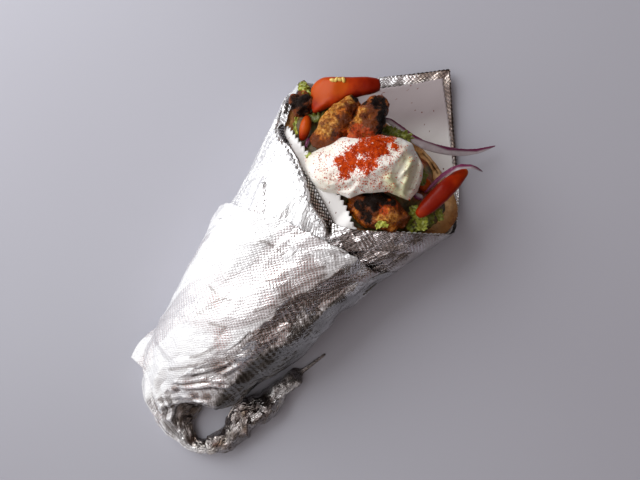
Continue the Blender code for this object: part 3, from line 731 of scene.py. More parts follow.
def makeMouthFoil():
    share = np.linspace(0, 1, mouthFoil["columns"] + 1)
    rim = -flow(*mouthFoil["rim"], share)
    rim = rim + overBase(share, *mouthFoil["flap"]) * teethAt(wrapPoints(share, rim), *mouthFoil["teeth"])
    bottom = mouthFoil["underLap"] - flow(*outerFoil["lap"], share)
    depths = np.linspace(mouthFoil["lining"], 0, mouthFoil["liningRows"])
    rows = [wrapPoints(share, rim + deep, inset=mouthFoil["wall"]) for deep in depths]
    parts = np.linspace(0, 1, mouthFoil["rows"])
    rows += [wrapPoints(share, rim + (bottom - rim) * part) for part in parts]
    points = np.array(rows)
    wide = np.broadcast_to(share, points.shape[:2])
    turnedIn = np.clip(dipAt(share, wrap["shift"][1] - points[..., 1]), 0, 1)
    turnedIn[:len(depths)] = 0
    band = between(wide, *mouthFoil["band"])
    sheet = sheetPlaces(points)
    strength = np.concatenate([0.5 + 0 * depths, 0.35 + 0.65 * fade(0, 0.15, parts)])[:, None]
    points = onFloor(crumpled(points, wide, strength * (1 - 0.85 * turnedIn + 0.6 * band)))
    # lighter facets that break the front band's painted shade
    light = fade(-0.30, -0.15, creases(sheetPlaces(points), 7, 35, 1.6, 12))
    light = light * fade(-0.5, 0.1, grain(points / 9))
    front = between(wide, *mouthFoil["front"])
    corner = 1 - fade(*mouthFoil["frontCorner"], wide)
    patches = front * ((0.60 - 0.48 * light) * (1 - corner) + (0.62 + 0.2 * grain(points / 9)) * corner)
    hem = overBase(wide, *mouthFoil["hem"]) * (0.86 + 0.2 * grain(points / 5))
    folded = spots(points, mouthFoil["hemFolds"])
    dotted = np.maximum(np.maximum(hem, 0.55 * front * (1 - corner)), 0.8 * turnedIn)
    # painted shade and dark reflection on the turned-in strip, the front band, the hem and its folds; painted
    # highlight over the left side
    masks = {
        "paintedShade": np.maximum.reduce([turnedIn, patches, hem, folded]),
        "grey": np.maximum(turnedIn, folded),
        "paintedHighlight": between(wide, *mouthFoil["left"]) * (1 - turnedIn),
        "dotted": dotted * (1 - 0.45 * folded),
        "creased": (0.5 + 1.1 * band) * (1 - turnedIn) * (1 - folded),
    }
    piece = layGrid("foil_mouth", points, masks, closed=True, sheet=sheet)
    placeOnBody(piece, "foil_wrapper", embossedFoil)


coverFoil = {                         # the strip along the left of the mouth, with a pinked edge
    "edge": ((0.44, 0.458, 0.47, 0.486, 0.505, 0.52, 0.537, 0.556, 0.574, 0.596, 0.62, 0.64, 0.653, 0.675,
              0.70, 0.726, 0.80, 0.88, 1),                                                  # shares
             (-2, 3, 6, 8.5, 9.3, 10.4, 11.8, 15.2, 18.6, 21.8, 24.2, 25.4, 25.0, 26.2, 28.5, 40, 54, 40,
              20)),                                                                         # y
    "end": 16.0,
    "stands": (0.45, 0.75),           # how far its rim and its face stand off the sheet below
    "columns": 619,
    "rows": 80,
    "teeth": (3.1, 1.6),
    "dip": (0.8, 3.8),                # slope and width of the strip that turns in beyond it
    "dipSpan": ((0.450, 0.475), (0.745, 0.775)),
    "folds": (
        ((-29.4, -18.6), (-33.4, -7.7), (-37.6, 3)),
        ((-23.7, -13.8), (-30.7, -3.5), (-37, 3.5)),
        ((-19.5, -13.3), (-19.3, -6.1), (-21.5, 0.2)),
    ),
    "pink": ((-30.4, -11.2, 6), (-20.2, -8.8, 5)),
}


def makeCover():
    share = np.linspace(coverFoil["edge"][0][0], 1, coverFoil["columns"] + 1)
    edge = -np.interp(share, *coverFoil["edge"])
    edge = edge + teethAt(wrapPoints(share, edge), *coverFoil["teeth"])
    low, high = coverFoil["stands"]
    rows = [wrapPoints(share, edge + deep, out=low, dipped=False) for deep in (3, 0.4)]
    rows += [wrapPoints(share, edge + (coverFoil["end"] - edge) * part, out=high, dipped=False)
             for part in np.linspace(0, 1, coverFoil["rows"]) ** 1.2]
    points = np.array(rows)
    points = crumpled(points, np.broadcast_to(share, points.shape[:2]), 1.0)
    shade = 0
    for path in coverFoil["folds"]:
        height = 0.7 * crest(awayFrom(points, path) + 0.4 * grain(points / 5), 1.5)
        shade = np.maximum(shade, crest(awayFrom(points - (2.0, 0.4, 0), path), 1.7))
        points = raised(points, height)
    points = onFloor(points)
    pink = spots(points, coverFoil["pink"])
    # painted shadow beside each fold and painted shade on the pink patches; the rest is whitened as a painted
    # highlight
    masks = {
        "paintedShade": np.maximum(0.16 * shade, 0.20 * pink),
        "grey": 0.0,
        "paintedHighlight": (0.76 + 0.15 * grain(points / 10)) * (1 - 0.6 * shade) * (1 - 0.7 * pink),
        "dotted": 0.4 * pink,
        "creased": 0.7,
    }
    placeOnBody(layGrid("foil_cover", points, masks), "foil_wrapper", embossedFoil)


outerFoil = {
    "lap": ((0, 0.1, 0.2, 0.26, 0.3, 0.35, 0.39, 0.42, 0.46, 0.494, 0.534, 0.572, 0.615, 0.65, 0.681, 0.729,
             0.76, 0.88, 1),                                                                # shares
            (-4, 4, 13, 13, 10, 6.5, 6.3, 5.4, 2.8, 1.2, -0.8, -4, -8.2, -10.8, -13.4, -19, -20, -12,
             -4)),                                                                          # y
    "turnUnder": (9, 6.5, 4.5, 3, 1.5, 0.5, 0),
    "thinStep": 0.3,
    "step": 1.6,                      # how far it stands off the turn below it
    "stepSpan": (0.26, 0.38),
    "stepFades": (60.0, 110.0),
    "shoulder": 2.2,
    "settled": 40.0,                  # reach past which it follows the body closely
    "ear": (95.0, 112.5, 114.5),      # reach where it starts, is widest and ends
    "earWidth": 10.5,
    "columns": 480,
    "lapRows": 70,
    "rowStep": 0.75,
    "twistRows": 198,
    "ridge": ((-8, 12, 20, 24, 31, 41, 50, 60, 74, 84, 95, 108, 120),       # reach
              (20.2, 14.5, 12.5, 9.4, 6.5, 6.6, 5.2, 3.6, -2.6, -5.5, -8.5, -11, -14)),     # x
    "ridgeLift": 1.5,
    "flank": ((-4, 5, 14, 25, 36, 46, 58, 74, 87), (31.5, 31.5, 25.2, 22.5, 19.2, 18.4, 13.7, 11.8, 11.3)),
    "twisted": (96, 110),             # reaches where its pleats and its rope begin
    "rope": (124, 138),
    "lipEdge": ((0.2, 0.3, 0.36, 0.42, 0.475, 0.56), (94, 94, 100, 111, 127, 128)),
    "lip": 1.3,
    "swell": 2.0,
    "swellSpan": ((152, 166), (200, 210)),
    "pinch": 2.0,
    "pinchSpan": ((124, 140), (154, 164)),
    "dotted": ((6, -14, 10), (-4, -24, 8), (6, -26, 8), (1, -35, 5), (-6, -63, 6), (-4, -68, 4),
               (-19, -53, 5), (-4, -98, 4), (2, -91, 4.5), (8, -86, 4)),
    # spots where the belt's painted shade is browner and darker
    "brown": ((3, -78.5, 5.5), (-8, -106, 3), (7, -98, 3.5), (-4, -126, 3), (2, -101.5, 3)),
    "edges": (                        # thin raised folds low on its right, with a painted highlight along them
        ((34.7, 13, 24), (34.4, 2.5, 26), (34.5, -6.7, 26), (34.2, -10.7, 25), (30.5, -19.8, 24)),
        ((27.3, 5.8, 34), (28, -4.9, 32), (28, -12.3, 30), (27.5, -20.2, 28), (23.3, -26.3, 26),
         (20, -34, 24)),
        ((22, -30, 36), (19, -44, 36), (14, -56, 36), (10, -72, 33)),
    ),
    "folds": (                        # raised folds near its tail, with a painted highlight along them and a painted shadow below them
        ((-9.6, -102.2, 30), (0.2, -89.5, 33.7), (10.7, -82, 34)),
        ((-8, -106, 28), (-4.7, -101.4, 30.5), (5.3, -89.6, 33), (12, -85, 32)),
        ((-7.8, -121.2, 19.5), (-1.6, -109.4, 21), (7.3, -101, 28.3), (16, -97, 23.3)),
        ((-12, -118, 22), (-5, -111, 25), (1, -104, 27)),
        ((4, -74, 39), (-1, -84, 37.5), (-6, -91, 35)),
        ((8, -62, 42), (9, -70, 39), (6, -80, 36)),
    ),
    "lines": (                        # thin lines of painted shade over its top, standing in for creases
        ((0, -28, 50), (3, -20, 50), (7, -11, 50), (10, -7, 49)),
        ((-6, -29, 50), (-2, -17, 50), (3, -8, 50)),
        ((4, -30, 50), (8, -20, 49), (13, -9, 49)),
        ((-20, -58, 44), (-18, -50, 46), (-14, -48, 47)),
        ((-25, -50, 43), (-18, -50, 46)),
        ((-22, -64, 42), (-17, -55, 45)),
        ((-14, -63, 44), (-7, -59, 46), (-7, -68, 44)),
        ((-11, -84, 38), (-7, -77, 41), (-4, -68, 44)),
        ((-16, -99, 30), (-8, -87, 37), (-4, -80, 40)),
        ((-1, -43, 49), (3, -36, 50), (10, -32, 48)),
        ((-27, -20, 48), (-18, -15, 50), (-5, -14, 50)),
    ),
}


def earAt(share, reach):
    start, full, gone = outerFoil["ear"]
    side, rise = sectionAt(share)
    grow = np.clip((reach - start) / (full - start), 0, 1)
    shrink = np.clip((reach - full) / (gone - full), 0, 1)
    low = np.clip(-side * 2 - 1, 0, 1) * np.clip(-rise * 4, 0, 1)
    return outerFoil["earWidth"] * grow * (1 - shrink) * low


def rowsToTip(share, lap):            # rows of points from its turned-under edge to the tip, with their reach
    side, rise = sectionAt(share)
    thin = outerFoil["thinStep"]
    step = thin + (outerFoil["step"] - thin) * fade(*outerFoil["stepSpan"], share)
    shoulder = outerFoil["shoulder"] * np.clip(-side, 0, 1) * np.clip(1.2 - np.abs(rise), 0, 1)
    settled = outerFoil["settled"]
    reaches = [lap + deep for deep in outerFoil["turnUnder"]]
    rows = [wrapPoints(share, lap + deep, out=step + shoulder - 0.4 - 0.05 * deep)
            for deep in outerFoil["turnUnder"]]
    for part in np.linspace(0, 1, outerFoil["lapRows"]):
        reaches.append(lap + (settled - lap) * part)
        rows.append(wrapPoints(share, reaches[-1], out=step + shoulder * (1 - part)))
    low, high = outerFoil["stepFades"]
    full, gone = outerFoil["ear"][1:]
    lipEdge = np.interp(share, *outerFoil["lipEdge"])
    rowStep = outerFoil["rowStep"]
    for reach in np.concatenate([np.arange(settled + rowStep, full, rowStep), [full, full + 1, gone],
                                 np.linspace(gone + 0.7, tailReach[-1], outerFoil["twistRows"])]):
        out = step * np.clip((high - reach) / (high - low), 0, 1) + earAt(share, reach)
        out = out + outerFoil["swell"] * between(reach, *outerFoil["swellSpan"])
        out = out - outerFoil["pinch"] * between(reach, *outerFoil["pinchSpan"])
        past = reach - lipEdge
        lip = fade(-10, 0, past) - 2 * fade(0.5, 4, past) + fade(10, 24, past)
        out = out + outerFoil["lip"] * lip * between(share, (0.1, 0.2), (0.54, 0.60))
        reaches.append(reach + 0 * share)
        rows.append(wrapPoints(share, reach, out=out))
    return np.array(rows), np.array(reaches)


def gathered(points, reach, wide):    # pleats at its neck, which wind on as a rope's strands
    girth = np.interp(reach, tailReach, tail[:, 2] + tail[:, 3])
    bent = 0.5 * grain(np.stack([wide * 6, reach / 9, 0 * reach], -1))
    pleat = zigzag(wide * 13 + (reach - 100) / 30 + bent)
    strand = zigzag(wide * 4 + (reach - 100) / 24 + bent)
    rope = fade(*outerFoil["rope"], reach)
    around = np.stack([wide * np.clip(girth * 2.2, 8, 90), reach, 0 * reach], axis=-1)
    small = 1.7 * creases(around, 5.5, 25, 1.4, 8) + 0.7 * creases(around, 2.6, -30, 1.2, 9)
    small = small * (0.05 + 0.40 * fade(118, 128, reach) + 0.55 * fade(150, 162, reach))
    uneven = np.clip(girth / 30, 0.2, 1) * (0.7 + 0.6 * grain(points / 9))
    height = uneven * (0.9 * pleat * (1 - 0.7 * rope) + 1.5 * strand * rope) + small
    height = height * fade(*outerFoil["twisted"], reach) * np.clip((tailReach[-1] - reach) / 14, 0, 1)
    points = raised(points, height * np.clip(points[..., 2] / 2, 0, 1))
    points[-1] = points[-1].mean(axis=0)
    return points, pleat


def outerMasks(points, flat, reach, wide, lap, x, pleat):
    fromRidge = x - flow(*outerFoil["ridge"], reach)
    past = reach - np.interp(wide, *outerFoil["lipEdge"])
    lower = fade(70, 80, reach)
    under = fade(0.5, 3, past) * between(wide, (0.06, 0.14), (0.55, 0.59))                # below the lip
    right = fade(-0.6, 0.6, fromRidge + 1.8 * creases(flat, 9, 30, 1.5, 14) + grain(points / 5))
    right = right * between(wide, (0.06, 0.14), (0.6, 0.7)) * (1 - under) * (1 - fade(122, 128, reach))
    # the smooth flank gets a cooler painted shade
    smooth = fade(-2.5, 2.5, x - flow(*outerFoil["flank"], reach) + 2.5 * grain(points / 7)) * right
    belt = right * (1 - smooth)       # the creased strip between the ridge and the smooth flank
    brown = fade(0.02, 0.12, creases(flat, 11, -35, 1.7, 15) + 0.35 * grain(points / 4)) * (1 - lower)
    brown = np.maximum(brown, spots(points, outerFoil["brown"]))
    # painted shade over the rope and below the lip
    curl = np.clip(fade(134, 150, reach) + under, 0, 1) * (1 - 0.4 * between(reach, (200, 207), (217, 222)))
    outerSide = fade(0.42, 0.52, wide) * (1 - fade(146, 160, reach))
    curl = curl * (1 - 0.85 * outerSide)
    # how dark the painted shade is on the rope, the belt and the smooth flank
    ropeTone = 0.78 - 0.36 * (1 - fade(146, 166, reach)) * (1 - under) + 0.35 * grain(points / 6)
    beltTone = 0.10 - 0.04 * lower + (0.40 + 0.30 * lower) * brown
    flankTone = 0.62 + 0.25 * fade(40, 58, reach) + 0.14 * grain(points / 8)
    # painted shade along thin wrinkles near the lap
    wrinkleShade = (1 - fade(0.02, 0.12, np.abs(creases(flat, 5, 15, 1.6, 19)))) * (1 - fade(2, 9, reach - lap))
    wrinkleShade = wrinkleShade * between(wide, (0.30, 0.36), (0.52, 0.60))
    # painted shade in the valleys between the pleats
    valleyShade = fade(0.5, 0.95, -pleat) * between(reach, (112, 122), (150, 160))
    pink = spots(points, outerFoil["dotted"]) * (1 - right * (1 - lower))
    # facets where the painted highlight is weaker
    faint = fade(0.0, 0.12, creases(flat, 13, 20, 1.6, 17)) * (1 - right)
    # painted shade and dark reflection, gathered from all of the above
    paintedShade = np.maximum(belt * beltTone + smooth * flankTone, curl * ropeTone)
    paintedShade = np.maximum.reduce([paintedShade * (1 - 0.7 * pink), 0.14 * pink, 0.6 * wrinkleShade, 0.55 * valleyShade])
    # painted highlight on the foil left of the ridge
    paintedHighlight = (1 - right) * (1 - curl) * (1 - 0.3 * pink) * (1 - 0.45 * faint) * (1 - wrinkleShade)
    paintedHighlight = paintedHighlight * (1 + 0.4 * fade(0.55, 0.65, wide))
    paintedHighlight = np.maximum(paintedHighlight, 0.6 * belt * lower * (1 - brown)) * (1 - valleyShade)
    bend = 0.72 * grain(points / 4)[..., None] * (1, 1, 0)
    # a thin line of painted shade along each listed line
    for path in outerFoil["lines"]:
        shade = crest(awayFrom(points + bend, path) - 0.4, 0.55)
        paintedShade, paintedHighlight = np.maximum(paintedShade, 0.5 * shade), paintedHighlight * (1 - 0.8 * shade)
    # a painted highlight along each edge and fold, and a painted shadow below each fold
    for path in outerFoil["edges"] + outerFoil["folds"]:
        near = crest(awayFrom(points, path), 0.8)
        if path in outerFoil["folds"]:
            shade = crest(awayFrom(points, np.array(path) + (1.1, -1.3, -0.7)), 1.0)
            paintedShade, paintedHighlight = np.maximum(paintedShade, 0.9 * shade), paintedHighlight * (1 - shade)
        paintedShade, paintedHighlight = paintedShade * (1 - 0.9 * near), np.maximum(paintedHighlight, 0.8 * near)
    creased = 0.45 + 0.35 * np.clip(grain(points / 26), -1, 1) + 0.4 * (1 - fade(4, 22, reach - lap))
    creased = creased + 0.9 * belt + 2.2 * fade(124, 144, reach)
    dotted = np.maximum.reduce([0.75 * belt * brown, 0.7 * pink, 0.25 * faint])
    return {"paintedShade": paintedShade, "grey": smooth, "paintedHighlight": paintedHighlight, "dotted": dotted, "creased": creased}


def makeOuterFoil():
    share = np.linspace(0, 1, outerFoil["columns"] + 1)
    wander = 1.1 * grain(np.stack([share * 60, 0 * share, 0 * share + 3], -1))
    lap = wander * np.sin(math.pi * share) - flow(*outerFoil["lap"], share)
    points, reach = rowsToTip(share, lap)
    wide = np.broadcast_to(share, reach.shape)
    rise = sectionAt(share)[1]
    body = 1 - fade(*outerFoil["twisted"], reach)
    x = points[..., 0] - wrap["shift"][0]
    fromRidge = x - flow(*outerFoil["ridge"], reach)
    points[..., 2] += outerFoil["ridgeLift"] * between(fromRidge, (-22, 0), (0, 6)) * (rise > 0) * body
    flank = fade(0, 6, fromRidge) * (rise > -0.4) * body
    flat = sheetPlaces(points)
    points = crumpled(points, wide, 0.15 + 0.85 * body + 0.5 * flank)
    for path in outerFoil["edges"] + outerFoil["folds"]:
        points = raised(points, 1.1 * crest(awayFrom(points, path), 1.3))
    points, pleat = gathered(points, reach, wide)
    points = onFloor(points)
    masks = outerMasks(points, flat, reach, wide, lap, x, pleat)
    split = len(points) - outerFoil["twistRows"]
    for name, part in (("foil_outer", slice(0, split + 1)), ("foil_twist", slice(split, None))):
        partMasks = {key: values[part] for key, values in masks.items()}
        piece = layGrid(name, points[part].copy(), partMasks, closed=True, sheet=flat[part])
        placeOnBody(piece, "foil_wrapper", embossedFoil)


paper = {
    "rim": ((0, 0.055, 0.102, 0.155, 0.208, 0.24, 0.307, 0.371, 0.43, 0.45, 0.461, 0.475, 0.49, 0.55, 0.609,
             0.65, 0.69, 0.705, 0.726, 0.826, 0.916, 0.96, 1),                              # shares
            (104.5, 91, 78.5, 64, 49.5, 45.2, 38.5, 27.5, 16.2, 17.4, 19, 20.6, 21.8, 26, 28.8, 30.8, 32.4,
             32, 36, 53.5, 79, 91.5, 104.5)),                                               # y
    "inset": 1.5,
    "wall": 0.3,
    "columns": 600,
    "inner": (72, 58),                # how deep its inner and outer faces go, and their rows
    "outer": (18, 14),
    "toothPitch": 3.0,
    "toothDepth": 2.2,
    "toothed": ((0.43, 0.455), (0.76, 0.82)),   # shares with full teeth; they are shallow elsewhere
    "waves": 0.6,
    "flap": ((0.78, 0.84), (0.16, 0.24)),
}


def makePaper():
    share = np.linspace(0, 1, paper["columns"] + 1)
    rim = -flow(*paper["rim"], share)
    depth = paper["toothDepth"] * (0.45 + 0.55 * between(share, *paper["toothed"]))
    rim = rim + depth * teethAt(wrapPoints(share, rim), paper["toothPitch"], 1.0) - 0.5 * depth
    inner, innerRows = paper["inner"]
    outer, outerRows = paper["outer"]
    inset = paper["inset"]
    rows = [wrapPoints(share, rim + deep, inset=inset + paper["wall"])
            for deep in np.linspace(inner, 0, innerRows)]
    rows += [wrapPoints(share, rim + deep, inset=inset) for deep in np.linspace(0, outer, outerRows)]
    points = np.array(rows)
    waves = paper["waves"] * grain(points / 16) + 0.25 * creases(points, 9, 20, 1.8, 4)
    waves[:innerRows] *= -1           # both faces wave the same way
    points = onFloor(raised(points, waves))
    lower = fade(-75, -57, points[..., 0] * 0.64 - points[..., 1] * 0.77 + 3 * grain(points / 14))
    masks = {"shaded": overBase(share, *paper["flap"]) * (1 - 0.8 * lower)}
    placeOnBody(layGrid("paper_sheet", points, masks, closed=True), "paper_lining",
                newMaterial("whitePaper", paperFinish))


bread = {
    "rim": ((0, 0.05, 0.1, 0.15, 0.2, 0.24, 0.3, 0.36, 0.42, 0.5, 0.58, 0.64, 0.69, 0.726, 0.76, 0.82, 0.88,
             0.95, 1),                                                                      # shares
            (67, 68, 66.5, 62.5, 55.5, 45, 35.5, 25, 18, 14, 19, 24, 31, 43, 50, 57, 62, 66, 67)),   # y
    "inset": 2.5,
    "wall": 5.2,
    "thickSide": ((0.03, 0.10), (0.24, 0.30)),
    "thicker": 3.5,
    "round": 1.5,                     # how far its rim's round stands past its walls
    "lip": 13.0,
    "lipPlaces": (32.0, 66.0),
    "lumps": 0.9,
    "columns": 300,
    "depths": (46, 60),               # how far its inner and outer faces go down
    "rows": (36, 13, 40),             # inner face, rim, outer face
}


def lipAt(reach):
    start, end = bread["lipPlaces"]
    return bread["lip"] * np.clip((-reach - start) / (end - start), 0, 1) ** 1.3


def makeBread():
    share = np.linspace(0, 1, bread["columns"] + 1)
    rim = -flow(*bread["rim"], share)
    thick = between(share, *bread["thickSide"])
    half = (bread["wall"] + bread["thicker"] * thick) / 2
    past, inset = bread["round"], bread["inset"]
    inner, outer = bread["depths"]
    innerRows, rimRows, outerRows = bread["rows"]
    rows, inside, edge = [], [], []

    def addRow(reach, depth, crumb, worn):
        rows.append(wrapPoints(share, reach, depth, floor=lipAt(reach)))
        inside.append(crumb)
        edge.append(worn)

    for deep in np.linspace(inner, past, innerRows):
        addRow(rim + deep, inset + 2 * half, 1, fade(4, 0, deep))
    for angle in np.linspace(90, -90, rimRows):
        lean, turn = math.cos(math.radians(angle)), math.sin(math.radians(angle))
        addRow(rim + past * (1 - lean), inset + half * (1 + turn), fade(-20, 60, angle), 1)
    for deep in np.linspace(past, outer, outerRows):
        addRow(rim + deep, inset, 0, fade(3, 0, deep))
    inside, edge = np.array(inside, float)[:, None], np.array(edge, float)[:, None]
    points = np.array(rows)
    lumps = bread["lumps"] * grain(points / 11) + 0.5 * grain(points / 4) + 0.2 * grain(points / 1.7)
    points = raised(points, lumps * np.where(inside > 0.5, 1.0, 0.45))
    masks = {"inside": inside, "edge": 0.6 * edge, "pale": thick}
    placeOnBody(layGrid("pita_bread", points, masks, closed=True), "pita",
                newMaterial("toastedBread", breadFinish))


print("stage: wrap")
makeMouthFoil()
makeCover()
makeOuterFoil()
makePaper()
makeBread()


# Food. A spot is x, y, radius, seen from above, where the grill, the spices or the cut left a tone, or where
# a glint is painted.

chicken = {                           # way is the direction in which a piece's strands run
    "chicken_1": {
        "way": (0.0, 1.0),
        "char": ((-29, 63.5, 3.5),),
        "brown": ((-28.5, 59, 5), (-26, 51.5, 3.5), (-25, 36, 5), (-31.5, 34.5, 5), (-36, 39, 3)),
        "spice": ((-22, 43, 3), (-22.5, 47, 2.5)),
        "goldAndGlint": ((-35, 45.5, 4), (-33.5, 50, 4), (-33.5, 55.5, 3.5), (-29.5, 42, 3.5), (-29, 47, 3),
                 (-33.5, 40.5, 3), (-30.5, 60, 2.5)),
    },
    "chicken_2": {
        "way": (-0.1, 1.0),
        "char": ((-19, 67, 5.5), (-13, 63.5, 4.5), (-24, 63, 2), (-10.5, 58, 3)),
        "brown": ((-12, 57, 6), (-20, 62.5, 5), (-16, 56, 5), (-15, 61, 5)),
        "spice": ((-17, 50, 5), (-20, 46.5, 4), (-13, 53, 3), (-19, 52, 3)),
        "goldAndGlint": ((-22, 59.1, 2), (-21.4, 55.3, 2.2)),
    },
    "chicken_3": {
        "way": (0.9, 0.4),
        "char": ((6.5, 31, 5), (10.3, 35, 5), (4.5, 26, 3.5), (10.5, 23.5, 4), (10.9, 29.3, 3), (15, 36, 3)),
        "brown": ((10, 28, 7), (25.5, 33, 5), (3, 28, 6), (19, 38, 4)),
        "spice": ((5, 34.5, 3), (15, 36, 4), (14, 31, 4)),
        "goldAndGlint": ((19.7, 31.5, 2.8), (19.2, 27.6, 2.6), (15.5, 27, 2)),
    },
    "chicken_4": {
        "way": (0.7, 0.7),
        "char": ((-50.3, 44.5, 5), (-45.5, 43.5, 4), (-48.5, 48, 3)),
        "brown": ((-49, 46, 14),),
        "spice": (),
        "goldAndGlint": ((-52.5, 51, 1.6),),
    },
}


def makeChicken():
    finish = newMaterial("grilledChicken", chickenFinish)
    for node, look in chicken.items():
        piece, points, normal = finerCopy(f"grilled_{node}", node, voxel=0.6, rounds=6)
        way = np.array([*look["way"], 0.0])
        squeezed = points - 0.72 * (points @ way)[:, None] * way
        lumps = 1.2 * grain(points / 5.5) + 0.7 * grain(squeezed / 2.6) + 0.3 * grain(squeezed / 1.2)
        lumps = lumps + 0.9 * creases(points, 5.5, 60, 1.9, 31) + 0.6 * creases(points, 2.4, 75, 1.7, 32)
        if node == "chicken_4":       # a ragged burnt end
            lumps = lumps + 1.8 * grain(points / 4 + 3) - 0.6
        pits = np.clip(grain(points / 2.0 + 9) - 0.25, 0, 1)
        points = points + normal * (lumps - 0.8 * pits)[:, None]
        moveVertices(piece, points)
        for mask in ("char", "brown", "spice", "goldAndGlint"):
            setMask(piece, mask, spots(points, look[mask]))
        placeOnBody(piece, node, finish)


sauce = {
    "folds": (                        # path, width and height of each ridge, or depth of each groove
        (((-3, 36), (0.5, 43), (4, 49.5), (5.5, 55), (5, 61)), 2.6, 1.5),
        (((9.5, 55), (12.5, 50), (14.5, 45), (16.5, 41.5)), 1.7, 2.2),
        (((9.5, 61), (14.5, 57.5), (18, 52), (19.5, 46)), 1.8, 0.9),
        (((6.5, 43), (10.5, 41.5), (15, 41)), 1.8, 1.0),
        (((9, 57.5), (10.2, 53.5), (10.4, 49)), 1.1, 1.3),
        (((16, 58), (18.5, 54.5), (20, 50.5)), 1.1, 1.0),
        (((6.5, 55), (7.4, 51), (8.2, 46.5)), 1.5, -3.0),
        (((12, 58), (15.2, 53), (17.2, 47)), 1.1, -2.4),
        (((-7.5, 25.5), (-4.5, 28.5), (-3.5, 32)), 1.5, -1.2),
        (((-1, 30), (3, 36), (9, 39)), 2.6, -1.0),
    ),
    "yellowed": (1, 3),               # which of them are more yellow
    "red": ((-10.7, 52.3, 3.9), (-8, 54.5, 3.9), (-11.9, 49.6, 3.9), (-6.4, 51.2, 4.4), (-4.9, 46.7, 4.4),
            (-3.4, 42.2, 4.2), (-2.8, 38.7, 2.6), (-3.5, 57, 3.2), (-0.8, 55.5, 2.6), (-12.8, 43.1, 3.9),
            (-12.3, 38.9, 4.4), (-12.3, 34.8, 4.2), (-9.6, 33, 3.9), (-15.1, 35.4, 3.4), (-9.4, 36, 3.9),
            (-10.4, 45.5, 3.9), (-3.6, 50.7, 3.9), (-5.2, 54, 3.4), (-7.5, 48.5, 3.9), (-6.5, 40, 3.1)),
    "dusted": ((-2, 55.6, 4), (2.4, 54.9, 4), (-20.9, 32.2, 5), (-20, 28.3, 4), (-14.3, 27.1, 4), (-8, 28, 4),
               (-2.7, 34.4, 4), (0.9, 38.5, 4), (3.3, 44, 4), (1.9, 49.9, 4), (9.5, 56.1, 2), (10.6, 39.6, 3),
               (4.7, 38.2, 3), (-8, 44, 9), (-16, 41, 5)),
    "spread": 6.0,                    # how far it runs out over the paper's edge
    "grains": 6500,
}


def makeSauce():
    piece, points, normal = finerCopy("yogurt_sauce", "sauce", voxel=0.6, rounds=8)
    upward = np.clip(normal[:, 2] * 1.4, 0, 1)
    right = fade(4, 12, points[:, 0] - wrap["shift"][0])
    lift = 0.5 * grain(points / 6) + 0.35 * grain(points / 2.5)
    lift = lift + (0.5 + 1.3 * right) * creases(points, 5, 35, 1.8, 21)
    lift = lift + 0.7 * right * creases(points, 2.4, 60, 1.5, 22)
    fold = np.zeros(len(points))
    for number, (path, width, tall) in enumerate(sauce["folds"]):
        away = awayFrom(points, path)
        lift = lift + tall * crest(away, width)
        if number in sauce["yellowed"]:
            fold = np.maximum(fold, crest(away, 1.6 * width))
    skin = 0.2 * grain(points / 4)
    points = points + (lift * upward)[:, None] * (0, 0, 1) + normal * skin[:, None]
    x, y = (points[:, :2] - wrap["shift"]).T
    points[:, 0] -= 3.5 * fade(-12, -22, x)
    points[:, 1] -= sauce["spread"] * fade(42, 27, y) * fade(-4, -18, x)
    moveVertices(piece, points)
    setMask(piece, "fold", fold)
    paprika = 0.95 * spots(points, sauce["red"]) + 0.12 * spots(points, sauce["dusted"])
    setMask(piece, "paprika", paprika * upward)
    placeOnBody(piece, "sauce", newMaterial("yogurtSauce", sauceFinish))
    return piece


def makePaprika(ground):
    points, normal = verticesOf(ground), readVertices(ground, "normal")
    weight = 0.06 + 2.2 * spots(points, sauce["red"]) + 0.55 * spots(points, sauce["dusted"])
    weight = np.clip(normal[:, 2], 0, 1) * weight
    random = np.random.default_rng(5)
    count = sauce["grains"]
    chosen = random.choice(len(points), count, p=weight / weight.sum())
    piece = newPrimitive("paprika_grit", bpy.ops.mesh.primitive_ico_sphere_add, subdivisions=1, radius=1)
    form = readVertices(piece, "co")
    faces = np.array([list(face.vertices) for face in piece.data.polygons])
    sizes = random.uniform(0.10, 0.30, count) * (1 + 0.5 * (random.random(count) > 0.93))
    jitter = random.uniform(-0.3, 0.3, (count, 3)) * (1, 1, 0)
    squash = random.uniform(0.5, 1.0, (count, 1, 3))
    middles = points[chosen] + jitter + normal[chosen] * 0.06
    places = middles[:, None, :] + form * squash * sizes[:, None, None]
    allFaces = faces + (np.arange(count) * len(form))[:, None, None]
    piece.data = newMesh("paprika_grit", places.reshape(-1, 3), allFaces.reshape(-1, 3).tolist())
    placeOnBody(piece, None, newMaterial("paprika", paprikaFinish))


tomato = {
    "tomato_1": {"pale": ((-40, 61, 7), (-44, 56, 8), (-47, 55, 6), (-38, 63, 4)),
                 "skin": ((-26, 73, 6), (-22, 76, 4), (-30, 64, 3))},
    "tomato_2": {"pale": ((34.5, 70.5, 3.5),), "skin": ((29.5, 50, 10), (30, 58, 5))},
    "tomato_3": {"pale": ((-40, 38, 5),), "skin": ()},
    "tomato_4": {"pale": ((22, 55, 6),), "skin": ()},
}


def makeTomato():
    finish = newMaterial("ripeTomato", tomatoFinish)
    for node, look in tomato.items():
        piece, points, normal = finerCopy(f"slice_{node}", node, voxel=0.5, rounds=14)
        points = points + normal * (0.25 * grain(points / 6))[:, None]
        if node == "tomato_1":        # its cut face widens at one end
            x, y = (points[:, :2] - wrap["shift"]).T
            points = points + (fade(-36, -47, x) * fade(62, 52, y))[:, None] * (3.0, -3.6, -1.5)
        moveVertices(piece, points)
        smoothed(piece, rounds=12)
        for mask, most in (("pale", 0.75), ("skin", 0.8)):
            setMask(piece, mask, most * spots(points, look[mask]))
        placeOnBody(piece, node, finish)


